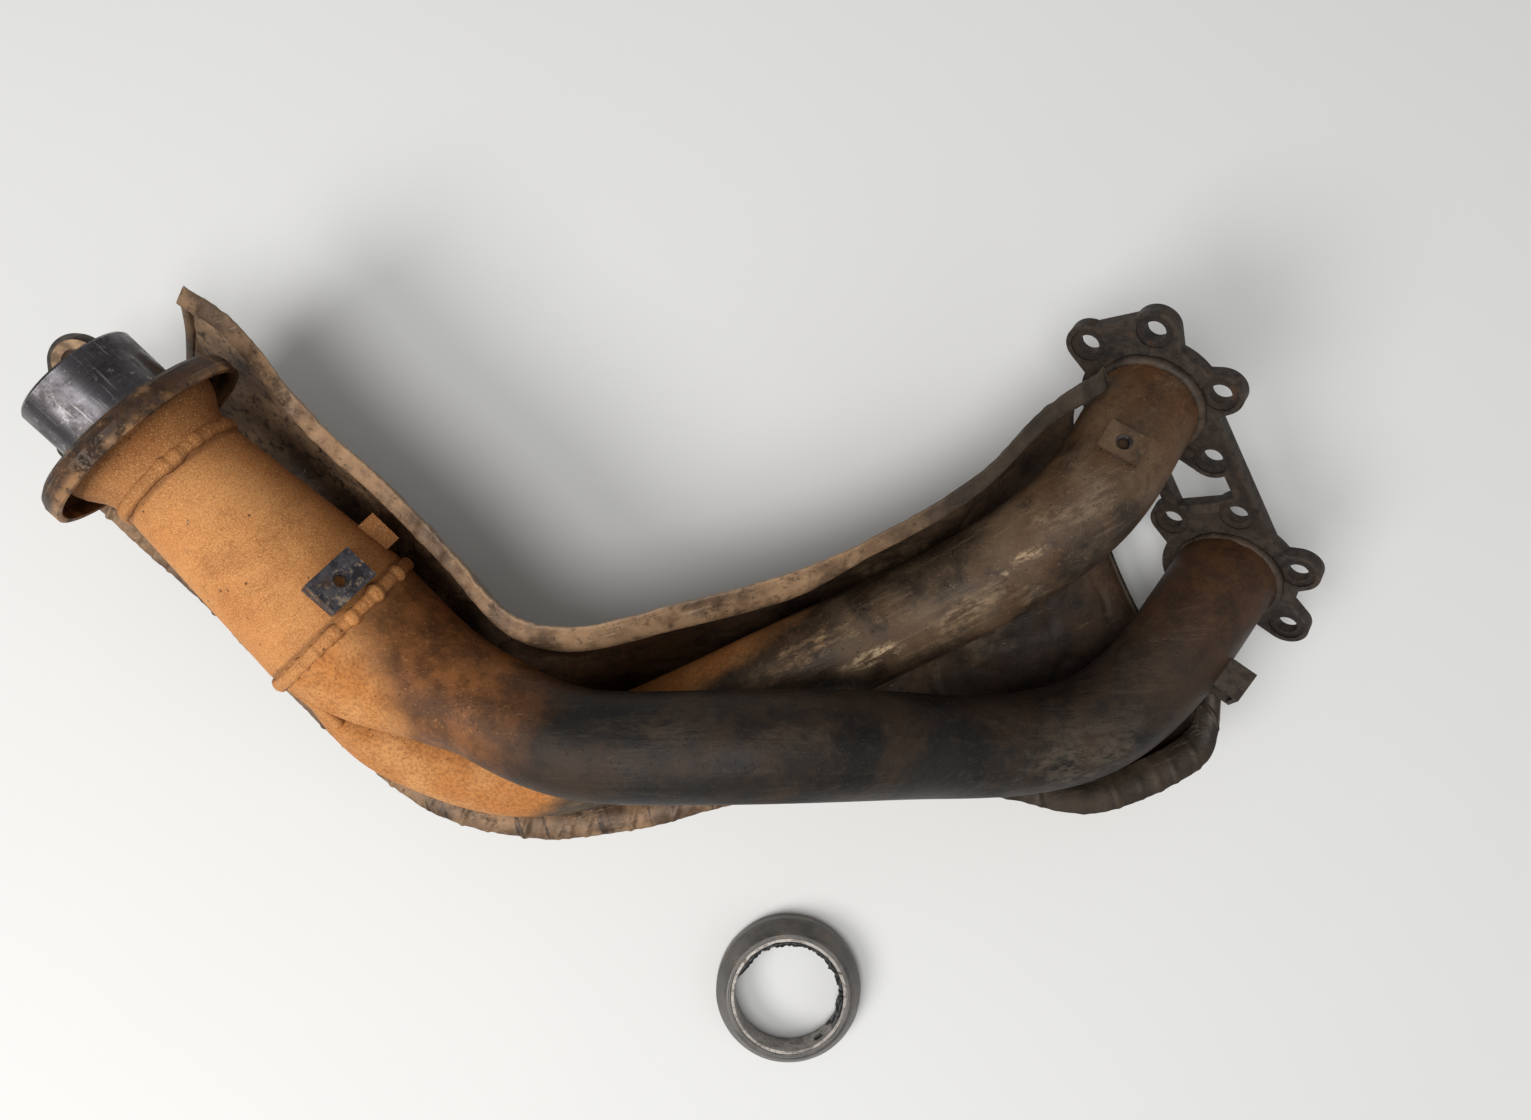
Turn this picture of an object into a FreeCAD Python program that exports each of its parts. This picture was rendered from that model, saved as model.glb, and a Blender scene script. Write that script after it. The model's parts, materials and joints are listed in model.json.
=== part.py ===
import FreeCAD, Part
import math
import os

# Two-into-one exhaust header of a twin-cylinder engine, lying flat, mm.
# +X runs from the outlet to the cylinder-head flange, +Z points up from the
# side the header lies on.  The frame origin ends at the bottom centre of the box.

V = FreeCAD.Vector

# ------------------------------------------------------------ driving sizes
RUNNER_OD = 44.45            # 1 3/4 in runner tube
WALL = 1.5
OUTLET_OD = 50.8             # 2 in outlet spigot
MERGE_OD = 71.0              # large end of the reducing cone
NECK_OD = 55.0               # small end of the reducing cone
CONE_LEN = 90.0
CUP_OD = 90.0
SEAL_OD = 70.0
SEAL_LEN = 16.0
PORT_PITCH = 94.5
PLATE_T = 6.0
STUD_HOLE_R = 4.6            # clearance for M8 studs
EAR_R = 9.7
SHEET = 0.7                  # heat-shield skin
BLANKET = 2.6                # insulation between the skins
NEST = 0.15                  # gap between nested shield layers
BRACKET_T = 2.0
BOLT_R = 3.0                 # M6 shield hardware
SEAM_R = 2.4                 # bead in the crease between the runners
TAB_T = 3.0
HEM_TOP, HEM_LOW, HEM_T = 9.0, 5.8, 1.4

# ------------------------------------------------------------ outlet axis
MERGE_C = V(-178.9, -26.8, 71.0)
OUT = V(-0.676, 0.706, 0.21).normalize()
SPIGOT_END = 143.0
CUP_BACK, CUP_FRONT = 104.0, 115.0
STACK = V(0.505, 0.237, 0.833)          # from the lower to the upper runner at the merge
STACK = (STACK - OUT * STACK.dot(OUT)).normalize()
MERGE_OFF = 15.6                        # runner centre off the outlet axis at the merge
MERGE_RUN = 74.0                        # length over which a runner turns from round to D

# ------------------------------------------------------------ flange frame
FACE_N = V(-0.54, -0.632, 0.556).normalize()        # away from the engine
ALONG = V(0.5101, -0.7711, -0.3811)
ALONG = (ALONG - FACE_N * ALONG.dot(FACE_N)).normalize()
ACROSS = FACE_N.cross(ALONG)
PLATE_C = V(166.0, 76.0, 80.0)          # reference point on the plate mid-plane
PORT_AT = (-9.0, 9.0)                   # first port centre in (across, along)
STUDS = ((-23.4, -24.0), (6.5, -22.6), (21.4, 11.6), (6.5, 41.3), (-24.0, 41.0))


def plate_pt(across, along, up=0.0):
    return PLATE_C + ACROSS * across + ALONG * along + FACE_N * up


PORTS = [plate_pt(PORT_AT[0], PORT_AT[1] + k * PORT_PITCH) for k in (0, 1)]

# ------------------------------------------------------------ runner centre lines
MERGE_IN = 14.0


def merge_end(sign, back, extra=0.0):
    return MERGE_C - OUT * back + STACK * (sign * (MERGE_OFF + extra))


FRONT_PATH = [PORTS[1], V(196.5, -20.0, 47.0), V(174.4, -47.7, 52.0), V(140.1, -73.2, 56.5),
              V(102.0, -80.0, 62.0), V(69.0, -77.8, 77.0), V(33.8, -74.0, 100.0),
              V(-6.1, -73.0, 110.0), V(-45.7, -74.2, 105.5), V(-78.4, -72.6, 100.0),
              V(-117.0, -57.8, 90.0),
              merge_end(1, MERGE_IN, 0.8), merge_end(1, 0.8)]
BACK_PATH = [PORTS[0], V(153.5, 53.5, 77.5), V(139.1, 31.6, 81.5), V(113.5, 6.3, 75.5),
             V(78.7, -15.8, 68.0), V(36.4, -36.6, 62.0), V(-6.7, -57.0, 57.5),
             V(-50.6, -77.6, 53.0), V(-77.1, -87.4, 50.5), V(-108.1, -91.2, 50.0),
             V(-139.2, -84.0, 50.0), V(-166.0, -65.5, 51.5),
             merge_end(-1, MERGE_IN, 0.8), merge_end(-1, 0.8)]


def path_curve(pts):
    c = Part.BSplineCurve()
    c.interpolate(pts)
    return c


def sample(curve, count):
    ps = curve.discretize(Number=count)
    out = []
    for p in ps:
        t = curve.tangent(curve.parameter(p))[0]
        out.append((p, V(t.x, t.y, t.z).normalize()))
    return out


SECTIONS = 34
CORNER = 0.26                 # sharpness of the rolled D corners, 1/mm
front_line, back_line = path_curve(FRONT_PATH), path_curve(BACK_PATH)
front_st, back_st = sample(front_line, SECTIONS), sample(back_line, SECTIONS)


def smooth(x):
    x = max(0.0, min(1.0, x))
    return x * x * (3.0 - 2.0 * x)


def runner_ring(p, t, other, left, inset, count=80):
    """Closed section of a runner: round, opening to a D beside the other runner."""
    u = (STACK - t * STACK.dot(t)).normalize()
    face = 1.0 if other is back_line else -1.0
    v = t.cross(u)
    q = other.value(other.parameter(p)) - p
    q = q - t * q.dot(t)
    room = q.Length / 2.0 - 0.2
    ang0 = math.atan2(q.dot(v), q.dot(u))
    w = smooth(1.0 - left / MERGE_RUN)
    flat = []
    for k in range(count):
        a = 2.0 * math.pi * k / count
        big = MERGE_OD / 2.0
        r_m = -MERGE_OFF * face * math.cos(a) + math.sqrt(big * big - (MERGE_OFF * math.sin(a)) ** 2)
        r = (1.0 - w) * RUNNER_OD / 2.0 + w * r_m
        c = math.cos(a - ang0)
        if c > 0.05:
            # blend into the flat, leaving a rolled corner
            r = -math.log(math.exp(-r * CORNER) + math.exp(-room / c * CORNER)) / CORNER
        flat.append((r * math.cos(a), r * math.sin(a)))
    pts = []
    for k in range(count):
        dx = flat[(k + 1) % count][0] - flat[k - 1][0]
        dy = flat[(k + 1) % count][1] - flat[k - 1][1]
        d = math.hypot(dx, dy)
        x = flat[k][0] - inset * dy / d
        y = flat[k][1] + inset * dx / d
        pts.append(p + u * x + v * y)
    return pts


def skin_solid(rings):
    """Closed solid with one smooth skin through planar closed rings and two flat caps."""
    count = len(rings[0])
    around = [float(k) for k in range(count + 1)]
    ring_poles = []
    for pts in rings:
        c = Part.BSplineCurve()
        c.interpolate(Points=pts, PeriodicFlag=True, Parameters=around)
        ring_poles.append(c.getPoles())
    ring_mults, ring_knots = c.getMultiplicities(), c.getKnots()
    mids = [sum(pts, V()) * (1.0 / count) for pts in rings]
    along = [0.0]
    for a, b in zip(mids, mids[1:]):
        along.append(along[-1] + (b - a).Length)
    columns = []
    for j in range(len(ring_poles[0])):
        col = Part.BSplineCurve()
        col.interpolate(Points=[row[j] for row in ring_poles], Parameters=along)
        columns.append(col)
    poles = [[col.getPole(i + 1) for col in columns] for i in range(columns[0].NbPoles)]
    surf = Part.BSplineSurface()
    surf.buildFromPolesMultsKnots(poles, columns[0].getMultiplicities(), ring_mults,
                                  columns[0].getKnots(), ring_knots, False, True, 3, 3)
    u0, u1 = surf.bounds()[:2]
    caps = [Part.Face(Part.Wire([surf.uIso(u).toShape()])) for u in (u0, u1)]
    shell = Part.makeShell([surf.toShape()] + caps)
    shell.sewShape()
    solid = Part.makeSolid(Part.Shell(shell.Faces))
    if solid.Volume < 0:
        solid.reverse()
    return solid


def runner_loft(stations, other, inset, overrun, first=0, last=None):
    st = stations[first:last]
    total = sum((b[0] - a[0]).Length for a, b in zip(stations, stations[1:]))
    gone = sum((b[0] - a[0]).Length for a, b in zip(stations[:first], stations[1:first + 1]))
    wires, prev = [], None
    for p, t in st:
        if prev is not None:
            gone += (p - prev).Length
        prev = p
        wires.append((p, t, runner_ring(p, t, other, total - gone, inset)))
    out = []
    if overrun:
        out.append([q - wires[0][1] * overrun for q in wires[0][2]])
    out += [w[2] for w in wires]
    if overrun:
        out.append([q + wires[-1][1] * overrun for q in wires[-1][2]])
    return skin_solid(out)


def revolve(profile, base=MERGE_C, axis=OUT):
    """Turn a closed list of (distance along axis, radius) about the axis."""
    side = axis.cross(V(0.31, 0.27, 0.91)).normalize()
    pts = [base + axis * s + side * r for s, r in profile]
    face = Part.Face(Part.makePolygon(pts + [pts[0]]))
    return face.revolve(base, axis, 360)


def torus(center, axis, major, minor):
    return Part.makeTorus(major, minor, center, axis)


def capsule(a, ra, b, rb, thick, low):
    """Plate piece enclosing two circles; a and b in plate coordinates."""
    d = math.hypot(b[0] - a[0], b[1] - a[1])
    solids = [Part.makeCylinder(r, thick, plate_pt(c[0], c[1], low), FACE_N) for c, r in ((a, ra), (b, rb))]
    if d > abs(ra - rb):
        base = math.atan2(b[1] - a[1], b[0] - a[0])
        open_a = math.acos((ra - rb) / d)
        quad = []
        for c, r, s in ((a, ra, 1), (b, rb, 1), (b, rb, -1), (a, ra, -1)):
            g = base + s * open_a
            quad.append(plate_pt(c[0] + r * math.cos(g), c[1] + r * math.sin(g), low))
        solids.append(Part.Face(Part.makePolygon(quad + [quad[0]])).extrude(FACE_N * thick))
    return solids[0].multiFuse(solids[1:]).removeSplitter()


parts = {}

# ------------------------------------------------------------ runners
front_outer = runner_loft(front_st, back_line, 0.0, 0.0)
back_outer = runner_loft(back_st, front_line, 0.0, 0.0)
gasket_cut = Part.makeBox(400, 400, 60, PLATE_C - FACE_N * (PLATE_T / 2 + 60), FACE_N)
gasket_cut.translate(gasket_cut.CenterOfMass * -1 + PLATE_C - FACE_N * (PLATE_T / 2 - 0.6 + 30)
                     + ALONG * PORT_PITCH / 2)
merge_trim = Part.makeCylinder(60, 40, MERGE_C - OUT * 0.75, OUT)
front_outer, back_outer = front_outer.cut(merge_trim), back_outer.cut(merge_trim)
parts["front_runner"] = front_outer.cut(runner_loft(front_st, back_line, WALL, 3.0)).cut(gasket_cut)
parts["back_runner"] = back_outer.cut(runner_loft(back_st, front_line, WALL, 3.0)).cut(gasket_cut)

# beads closing the creases where the two D sections meet, melted into both runners
seam_side = OUT.cross(STACK).normalize()
seams = []
for sign in (1, -1):
    near, far = [MERGE_C - OUT * back + seam_side * (sign * out) for back, out in ((3.4, 33.4), (27.0, 32.2))]
    bead = Part.makeCylinder(SEAM_R, (far - near).Length, near, far - near)
    seams.append(bead.fuse(Part.makeSphere(SEAM_R, far)).removeSplitter())
parts["runner_seam_weld"] = Part.makeCompound(seams)

# ------------------------------------------------------------ head flange
low = -PLATE_T / 2
pieces = []
for k in (0, 1):
    dy = k * PORT_PITCH
    port = (PORT_AT[0], PORT_AT[1] + dy)
    pieces.append(Part.makeCylinder(30.0, PLATE_T, plate_pt(port[0], port[1], low), FACE_N))
    for x, y in STUDS:
        pieces.append(capsule((x, y + dy), EAR_R, (port[0] + 0.55 * (x - port[0]),
                                                   port[1] + 0.55 * (y + dy - port[1])),
                              12.5, PLATE_T, low))
    pieces.append(capsule((STUDS[0][0], STUDS[0][1] + dy), EAR_R - 2, (STUDS[1][0], STUDS[1][1] + dy),
                          EAR_R - 2, PLATE_T, low))
RAILS = (((-19.8, 40.0), (-20.3, 68.0), 3.0), ((12.7, 22.0), (12.9, 98.0), 4.1))
for a, b, r in RAILS:
    pieces.append(capsule(a, r, b, r, PLATE_T, low))
flange = pieces[0].multiFuse(pieces[1:]).removeSplitter()
stud_pts = []
for k in (0, 1):
    for x, y in STUDS:
        stud_pts.append((x, y + k * PORT_PITCH))
drills = [Part.makeCylinder(STUD_HOLE_R, PLATE_T + 4, plate_pt(x, y, low - 2), FACE_N) for x, y in stud_pts]
# shallow spot-faces round the stud holes on the nut side
drills += [Part.makeCylinder(EAR_R - 2.2, 2, plate_pt(x, y, PLATE_T / 2 - 0.8), FACE_N) for x, y in stud_pts]
for line, other, st in ((front_line, back_line, front_st), (back_line, front_line, back_st)):
    drills.append(runner_loft(st, other, -0.05, 12.0, 0, 4))
for d in drills:
    flange = flange.cut(d)
parts["head_flange"] = flange.removeSplitter()

for name, port, outer in (("front_port_weld", PORTS[1], front_outer), ("back_port_weld", PORTS[0], back_outer)):
    bead = torus(port + FACE_N * (PLATE_T / 2 + 0.4), FACE_N, RUNNER_OD / 2 + 1.4, 2.5)
    bead = bead.cut(outer).cut(parts["head_flange"])
    bead = bead.cut(Part.makeCylinder(40, 10, port + FACE_N * (PLATE_T / 2 - 9.99), FACE_N))
    parts[name] = max(bead.Solids, key=lambda s: s.Volume)

# ------------------------------------------------------------ collector
half = MERGE_OD / 2
neck = NECK_OD / 2
parts["collector_cone"] = revolve([(0.8, half - WALL), (0.8, half), (6.0, half), (CONE_LEN - 5, neck),
                                   (CONE_LEN - 0.8, neck), (CONE_LEN - 0.8, neck - WALL),
                                   (CONE_LEN - 5, neck - WALL), (6.0, half - WALL)])


def bead_ring(at, r):
    prof = [(at + 2.9 * math.cos(a), r + 0.07 + 1.9 * math.sin(a))
            for a in [math.pi * k / 8 for k in range(9)]]
    prof += [(at - 0.7, r), (at - 0.7, r - WALL), (at + 0.7, r - WALL), (at + 0.7, r)]
    return revolve(prof)


parts["merge_weld"] = bead_ring(0.0, half)
parts["outlet_weld"] = bead_ring(CONE_LEN, neck)

FLARE = ((CONE_LEN + 0.8, 27.5), (95.0, 27.6), (98.0, 28.6), (101.0, 30.6), (104.0, 32.6),
         (108.0, 34.2), (112.4, 34.8))
SPIGOT_BORE_R = OUTLET_OD / 2 - WALL
RELIEF, SIZED_FROM = 0.35, CUP_FRONT + 1.6
inner = [(s, r - 1.6) for s, r in FLARE]
inner[0] = (FLARE[0][0], OUTLET_OD / 2 + 0.05)
inner[1] = (FLARE[1][0], OUTLET_OD / 2 + 0.05)
parts["outlet_neck"] = revolve(list(FLARE) + inner[::-1])
# the end of the pipe is sized round for the seal; a shallow relief lies between it and the weld
parts["spigot"] = revolve([(CONE_LEN + 2, SPIGOT_BORE_R), (CONE_LEN + 2, OUTLET_OD / 2),
                           (102.6, OUTLET_OD / 2), (103.2, OUTLET_OD / 2 - RELIEF),
                           (SIZED_FROM - 0.6, OUTLET_OD / 2 - RELIEF), (SIZED_FROM, OUTLET_OD / 2),
                           (SPIGOT_END - 1, OUTLET_OD / 2), (SPIGOT_END, OUTLET_OD / 2 - 0.8),
                           (SPIGOT_END, SPIGOT_BORE_R)])
parts["spigot_weld"] = revolve([(98.0, OUTLET_OD / 2 + 0.02), (98.0, 26.6), (100.2, 27.4), (102.4, OUTLET_OD / 2 + 0.02)])

cup_r = CUP_OD / 2
parts["swivel_cup"] = revolve([(CUP_BACK, cup_r - 2.4), (CUP_BACK - 0.4, cup_r - 1.2), (CUP_BACK, cup_r),
                               (CUP_FRONT - 5.0, cup_r), (CUP_FRONT - 2.2, cup_r - 1.2),
                               (CUP_FRONT - 0.4, cup_r - 3.6), (CUP_FRONT, cup_r - 6.5), (CUP_FRONT, 26.4),
                               (CUP_FRONT - 2.0, 26.4), (CUP_FRONT - 2.0, cup_r - 7.0),
                               (CUP_FRONT - 2.6, cup_r - 4.8), (CUP_FRONT - 5.0, cup_r - 2.4)])

# ------------------------------------------------------------ loose outlet seal
SEAL_C = V(11.0, -207.0, 0.0)           # where the ring lies beside the header
UP = V(0, 0, 1)
SEAL_BORE = OUTLET_OD / 2 + 0.6
parts["seal_core"] = revolve([(0.6, SEAL_BORE), (0.6, SEAL_BORE + 1.4), (SEAL_LEN - 0.4, SEAL_BORE + 1.4),
                              (SEAL_LEN - 0.4, SEAL_BORE)], SEAL_C, UP)
parts["seal_ring"] = revolve([(0.0, SEAL_BORE + 1.45), (0.0, SEAL_OD / 2 - 1.0), (1.0, SEAL_OD / 2),
                              (7.5, SEAL_OD / 2), (SEAL_LEN - 1.0, SEAL_OD / 2 - 4.4),
                              (SEAL_LEN, SEAL_OD / 2 - 5.4), (SEAL_LEN, SEAL_BORE + 1.45)], SEAL_C, UP)

# ------------------------------------------------------------ bridge brackets


def frame_box(org, ex, ey, ez, x0, x1, y0, y1, z0, z1):
    quad = [org + ex * x + ey * y + ez * z0 for x, y in ((x0, y0), (x1, y0), (x1, y1), (x0, y1))]
    return Part.Face(Part.makePolygon(quad + [quad[0]])).extrude(ez * (z1 - z0))


def bridge(top, normal, tunnel, length, width, rise, cutter):
    """Hat bracket: top plate, two legs down to the tube, one drilled hole."""
    ez = normal.normalize()
    ex = (tunnel - ez * tunnel.dot(ez)).normalize()
    ey = ez.cross(ex)
    hx, hy = length / 2, width / 2
    plate = frame_box(top, ex, ey, ez, -hx, hx, -hy, hy, -BRACKET_T, 0)
    legs = [frame_box(top, ex, ey, ez, -hx, hx, s * hy - (BRACKET_T if s > 0 else 0),
                      s * hy + (BRACKET_T if s < 0 else 0), -rise, -BRACKET_T) for s in (1, -1)]
    body = plate.multiFuse(legs).removeSplitter()
    body = body.cut(Part.makeCylinder(BOLT_R + 0.4, 8, top - ez * 5, ez))
    body = body.cut(cutter)
    nut = Part.makeCylinder(5.2, 3.4, top - ez * (BRACKET_T + 3.42), ez)
    nut = nut.cut(Part.makeCylinder(BOLT_R - 0.5, 8, top - ez * 8, ez))
    return max(body.Solids, key=lambda s: s.Volume), nut


cone_skin = revolve([(0.0, 0.0), (0.0, half + 0.05), (6.0, half + 0.05), (CONE_LEN - 5, neck + 0.05),
                     (CONE_LEN, neck + 0.05), (CONE_LEN, 0.0)])


def radial(p, base, axis):
    d = p - base
    return (d - axis * d.dot(axis)).normalize()


def nearest(line, p):
    par = line.parameter(p)
    t = line.tangent(par)[0]
    return line.value(par), V(t.x, t.y, t.z).normalize()


NUT_RISE = 6.5                # bracket plate above the pipe it is welded to
BEND_RISE = 10.5
SIDE_RISE = 5.5
BEND_AT = V(182.6, -37.8, 51.0)
BEND_DIR = V(0.777, -0.581, 0.241)
nuts = []
# on the cone, facing up
rd = radial(MERGE_C + V(0.506, 0.238, 0.829), MERGE_C, OUT)
b, n = bridge(MERGE_C + OUT * 13.0 + rd * (half + NUT_RISE), rd, OUT, 15.6, 22.5, 18.0, cone_skin)
parts["cone_bracket"] = b
nuts.append(n)
# on the cone, facing the shield wall
rd = radial(MERGE_C + V(0.671, 0.708, -0.22), MERGE_C, OUT)
SIDE_TOP, SIDE_DIR = MERGE_C + OUT * 17.5 + rd * (half + SIDE_RISE), rd
b, n = bridge(SIDE_TOP, SIDE_DIR, OUT, 15.0, 17.0, 14.0, cone_skin)
parts["cone_side_bracket"] = b
nuts.append(n)
# on the back runner, near the port
c, t = nearest(back_line, V(144.8, 39.9, 80.9))
rd = radial(c + V(-0.139, 0.230, 0.963), c, t)
b, n = bridge(c + rd * (RUNNER_OD / 2 + NUT_RISE), rd, t, 12.1, 17.1, 12.0, back_outer)
parts["back_runner_bracket"] = b
nuts.append(n)
# on the outside of the front runner bend
c, t = nearest(front_line, BEND_AT)
rd = radial(c + BEND_DIR, c, t)
b, n = bridge(c + rd * (RUNNER_OD / 2 + BEND_RISE), rd, t, 14.2, 17.0, 17.0, front_outer)
parts["front_runner_bracket"] = b
nuts.append(n)
parts["bracket_weld_nuts"] = Part.makeCompound(nuts)

# ------------------------------------------------------------ heat-shield pan
# stations from the outlet end to the flange end:
# outer edge of the upper hem, of the lower hem, depth of the belly, belly shift in X and Y
PAN_EDGES = [
    ((-239.0, 113.5, 86.0), (-298.0, 25.5, 51.0), 50.0, (-6.0, -6.0)),
    ((-217.0, 98.0, 88.0), (-276.5, 5.5, 51.0), 48.0, (-4.0, -4.0)),
    ((-185.0, 60.5, 90.0), (-248.0, -19.5, 51.0), 50.0, (0.0, 0.0)),
    ((-155.5, 33.5, 92.0), (-215.7, -56.5, 46.0), 49.0, (0.0, 0.0)),
    ((-128.0, 6.0, 94.0), (-181.8, -89.4, 44.0), 51.0, (0.0, 0.0)),
    ((-103.5, -20.5, 95.0), (-145.9, -114.6, 44.0), 55.0, (0.0, 0.0)),
    ((-75.0, -26.0, 95.0), (-100.4, -124.6, 44.5), 56.0, (0.0, 0.0)),
    ((-34.5, -16.5, 94.0), (-55.9, -119.8, 46.0), 57.0, (0.0, 0.0)),
    ((14.0, -3.0, 92.0), (-2.0, -106.0, 49.0), 56.0, (0.0, 0.0)),
    ((55.0, 16.0, 90.0), (50.5, -101.0, 47.0), 52.0, (0.0, 0.0)),
    ((87.5, 36.5, 91.0), (103.0, -106.0, 46.0), 50.0, (0.0, 0.0)),
    ((112.5, 62.0, 92.0), (148.0, -113.5, 44.5), 46.0, (-3.0, 3.0)),
    ((133.0, 75.5, 92.0), (196.0, -92.5, 44.0), 43.0, (-10.0, 4.0)),
    ((137.0, 79.0, 91.0), (204.5, -62.0, 44.0), 40.0, (-14.0, 6.0)),
]
ACROSS_STEPS = 18
SQUARE = 0.72                 # below 1 squares the pan's section
MOUTH_SLOPE = 0.9             # the section opens to a V at the outlet end
HEM_LAP = 0.8                 # how far a hem reaches over the inner face

PAN = []
for i, (top, bot, deep, shift) in enumerate(PAN_EDGES):
    top, bot = V(*top), V(*bot)
    across = (top - bot).normalize()
    square = SQUARE + MOUTH_SLOPE * smooth(1.0 - i / 2.5)
    PAN.append((top - across * (HEM_TOP - HEM_LAP), bot + across * (HEM_LOW - HEM_LAP),
                V(shift[0], shift[1], -deep), square))


def pan_point(station, phi):
    top, bot, belly, square = station
    c, s = math.cos(phi), math.sin(phi)
    g = (1.0 - math.copysign(abs(c) ** square, c)) / 2.0
    return top + (bot - top) * g + belly * (max(s, 0.0) ** square)


pan_grid = [[pan_point(st, math.pi * j / ACROSS_STEPS) for j in range(ACROSS_STEPS + 1)] for st in PAN]


def grid_normal(i, j):
    rows, cols = len(pan_grid), len(pan_grid[0])
    a = pan_grid[min(i + 1, rows - 1)][j] - pan_grid[max(i - 1, 0)][j]
    b = pan_grid[i][min(j + 1, cols - 1)] - pan_grid[i][max(j - 1, 0)]
    return b.cross(a).normalize()


normals = [[grid_normal(i, j) for j in range(len(pan_grid[0]))] for i in range(len(pan_grid))]
mid = ACROSS_STEPS // 2
OUTWARD = -1.0 if normals[6][mid].z > 0 else 1.0


def pan_layer(near, far, inset=0.0):
    """Closed solid between two offsets of the pan surface, outward positive, its edges drawn in by a share."""
    faces, surfs = [], []
    for off in (near, far):
        rows = [[pan_grid[i][j] + normals[i][j] * (OUTWARD * off) for j in range(len(pan_grid[0]))]
                for i in range(len(pan_grid))]
        s = Part.BSplineSurface()
        s.interpolate(rows)
        u0, u1, v0, v1 = s.bounds()
        if inset:
            s.segment(u0 + inset * (u1 - u0), u1 - inset * (u1 - u0), v0 + inset * (v1 - v0), v1 - inset * (v1 - v0))
        surfs.append(s)
        faces.append(s.toShape())
    ends = [s.bounds() for s in surfs]
    sides = []
    for k in (0, 1):
        rims = [s.uIso(e[k]).toShape() for s, e in zip(surfs, ends)]
        sides.append(Part.makeRuledSurface(rims[0], rims[1], 1))
        rims = [s.vIso(e[2 + k]).toShape() for s, e in zip(surfs, ends)]
        sides.append(Part.makeRuledSurface(rims[0], rims[1], 1))
    shell = Part.makeShell(faces + sides)
    shell.sewShape()
    solid = Part.makeSolid(Part.Shell(shell.Faces))
    if solid.Volume < 0:
        solid.reverse()
    return solid


BLANKET_INSET = 0.006
liner = pan_layer(0.0, SHEET)
blanket = pan_layer(SHEET + NEST, SHEET + NEST + BLANKET, BLANKET_INSET)
PAN_T = 2 * SHEET + BLANKET + 2 * NEST
skin = pan_layer(PAN_T - SHEET, PAN_T)

# folded hem closing the edge of the layers, one strip on each lip
hems = []
for end, width in ((0, HEM_TOP), (1, HEM_LOW)):
    rings = []
    for st in PAN:
        lip, far = (st[0], st[1]) if end == 0 else (st[1], st[0])
        out = (lip - far).normalize()
        up = st[2] * -1
        up = (up - out * up.dot(out)).normalize()
        mid_pt = lip + out * (width / 2 - HEM_LAP) + up * (HEM_T / 2 + 0.25)
        ring = []
        for k in range(20):
            c, d = math.cos(2 * math.pi * k / 20), math.sin(2 * math.pi * k / 20)
            ring.append(mid_pt + out * (width / 2 * math.copysign(abs(c) ** 0.6, c))
                        + up * (HEM_T / 2 * math.copysign(abs(d) ** 0.8, d)))
        rings.append(ring)
    hems.append(skin_solid(rings))

# hidden stand-offs bolting the pan to the pipes from below
pan_face = Part.BSplineSurface()
pan_face.interpolate(pan_grid)
PLATE_GAP, WASHER_GAP, WASHER_T, HEAD_T = 1.8, 0.3, 1.2, 4.0
cone_mid = MERGE_C + OUT * 42.0
mid_c, mid_t = nearest(back_line, V(30.0, -40.0, 60.0))
far_c, far_t = nearest(front_line, V(126.0, -76.0, 58.0))
rear_brackets, rear_nuts, bolts, washers, bolt_holes = [], [], [], [], []
for c, t, cutter in ((cone_mid, OUT, cone_skin), (mid_c, mid_t, back_outer), (far_c, far_t, front_outer)):
    probe = Part.makeLine(c, c - V(0, 0, 120))
    seat = max(liner.common(probe).Vertexes, key=lambda v: v.Z).Point
    away = pan_face.normal(*pan_face.parameter(seat))
    away = away * (1 if away.z < 0 else -1)
    top = seat - away * PLATE_GAP
    b, n = bridge(top, away, t, 14.0, 18.0, (c - top).Length, cutter)
    under = seat + away * (PAN_T + WASHER_GAP)
    washer = Part.makeCylinder(7.0, WASHER_T, under, away)
    washers.append(washer.cut(Part.makeCylinder(BOLT_R + 0.2, 4, under - away, away)))
    head = under + away * (WASHER_T + 0.05)
    shank = (head - top).Length + BRACKET_T + 3.0
    bolt = Part.makeCylinder(5.0, HEAD_T, head, away).fuse(Part.makeCylinder(BOLT_R - 0.06, shank, head, away * -1))
    bolts.append(bolt.cut(Part.makeCylinder(2.5, 2.4, head + away * 1.8, away)).removeSplitter())
    rear_brackets.append(b.cut(bolts[-1]))
    rear_nuts.append(n.cut(bolts[-1]))
    bolt_holes.append(Part.makeCylinder(BOLT_R + 0.6, 20, seat - away * 5, away))
# open bolt hole in the wall beside the side bracket on the cone
side_hole = Part.makeCylinder(BOLT_R + 0.6, 60, SIDE_TOP - SIDE_DIR * 2, SIDE_DIR)
for h in bolt_holes + [side_hole]:
    liner, blanket, skin = liner.cut(h), blanket.cut(h), skin.cut(h)
parts["rear_brackets"] = Part.makeCompound(rear_brackets)
parts["rear_weld_nuts"] = Part.makeCompound(rear_nuts)
parts["shield_bolts"] = Part.makeCompound(bolts)
parts["shield_washers"] = Part.makeCompound(washers)
parts["shield_liner"] = liner
parts["shield_blanket"] = blanket
parts["shield_skin"] = skin
parts["shield_hem"] = Part.makeCompound(hems)

# ------------------------------------------------------------ support tab and isolator
TAB_UP = (V(0, 0, 1) - OUT * OUT.z).normalize()
TAB_SIDE = OUT.cross(TAB_UP)
TAB_LOW = 49.0                # under the axis, so the strip clears the cup


def tab_pt(s, lat, up=0.0):
    return MERGE_C + OUT * s + TAB_SIDE * lat - TAB_UP * (TAB_LOW - up)


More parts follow.
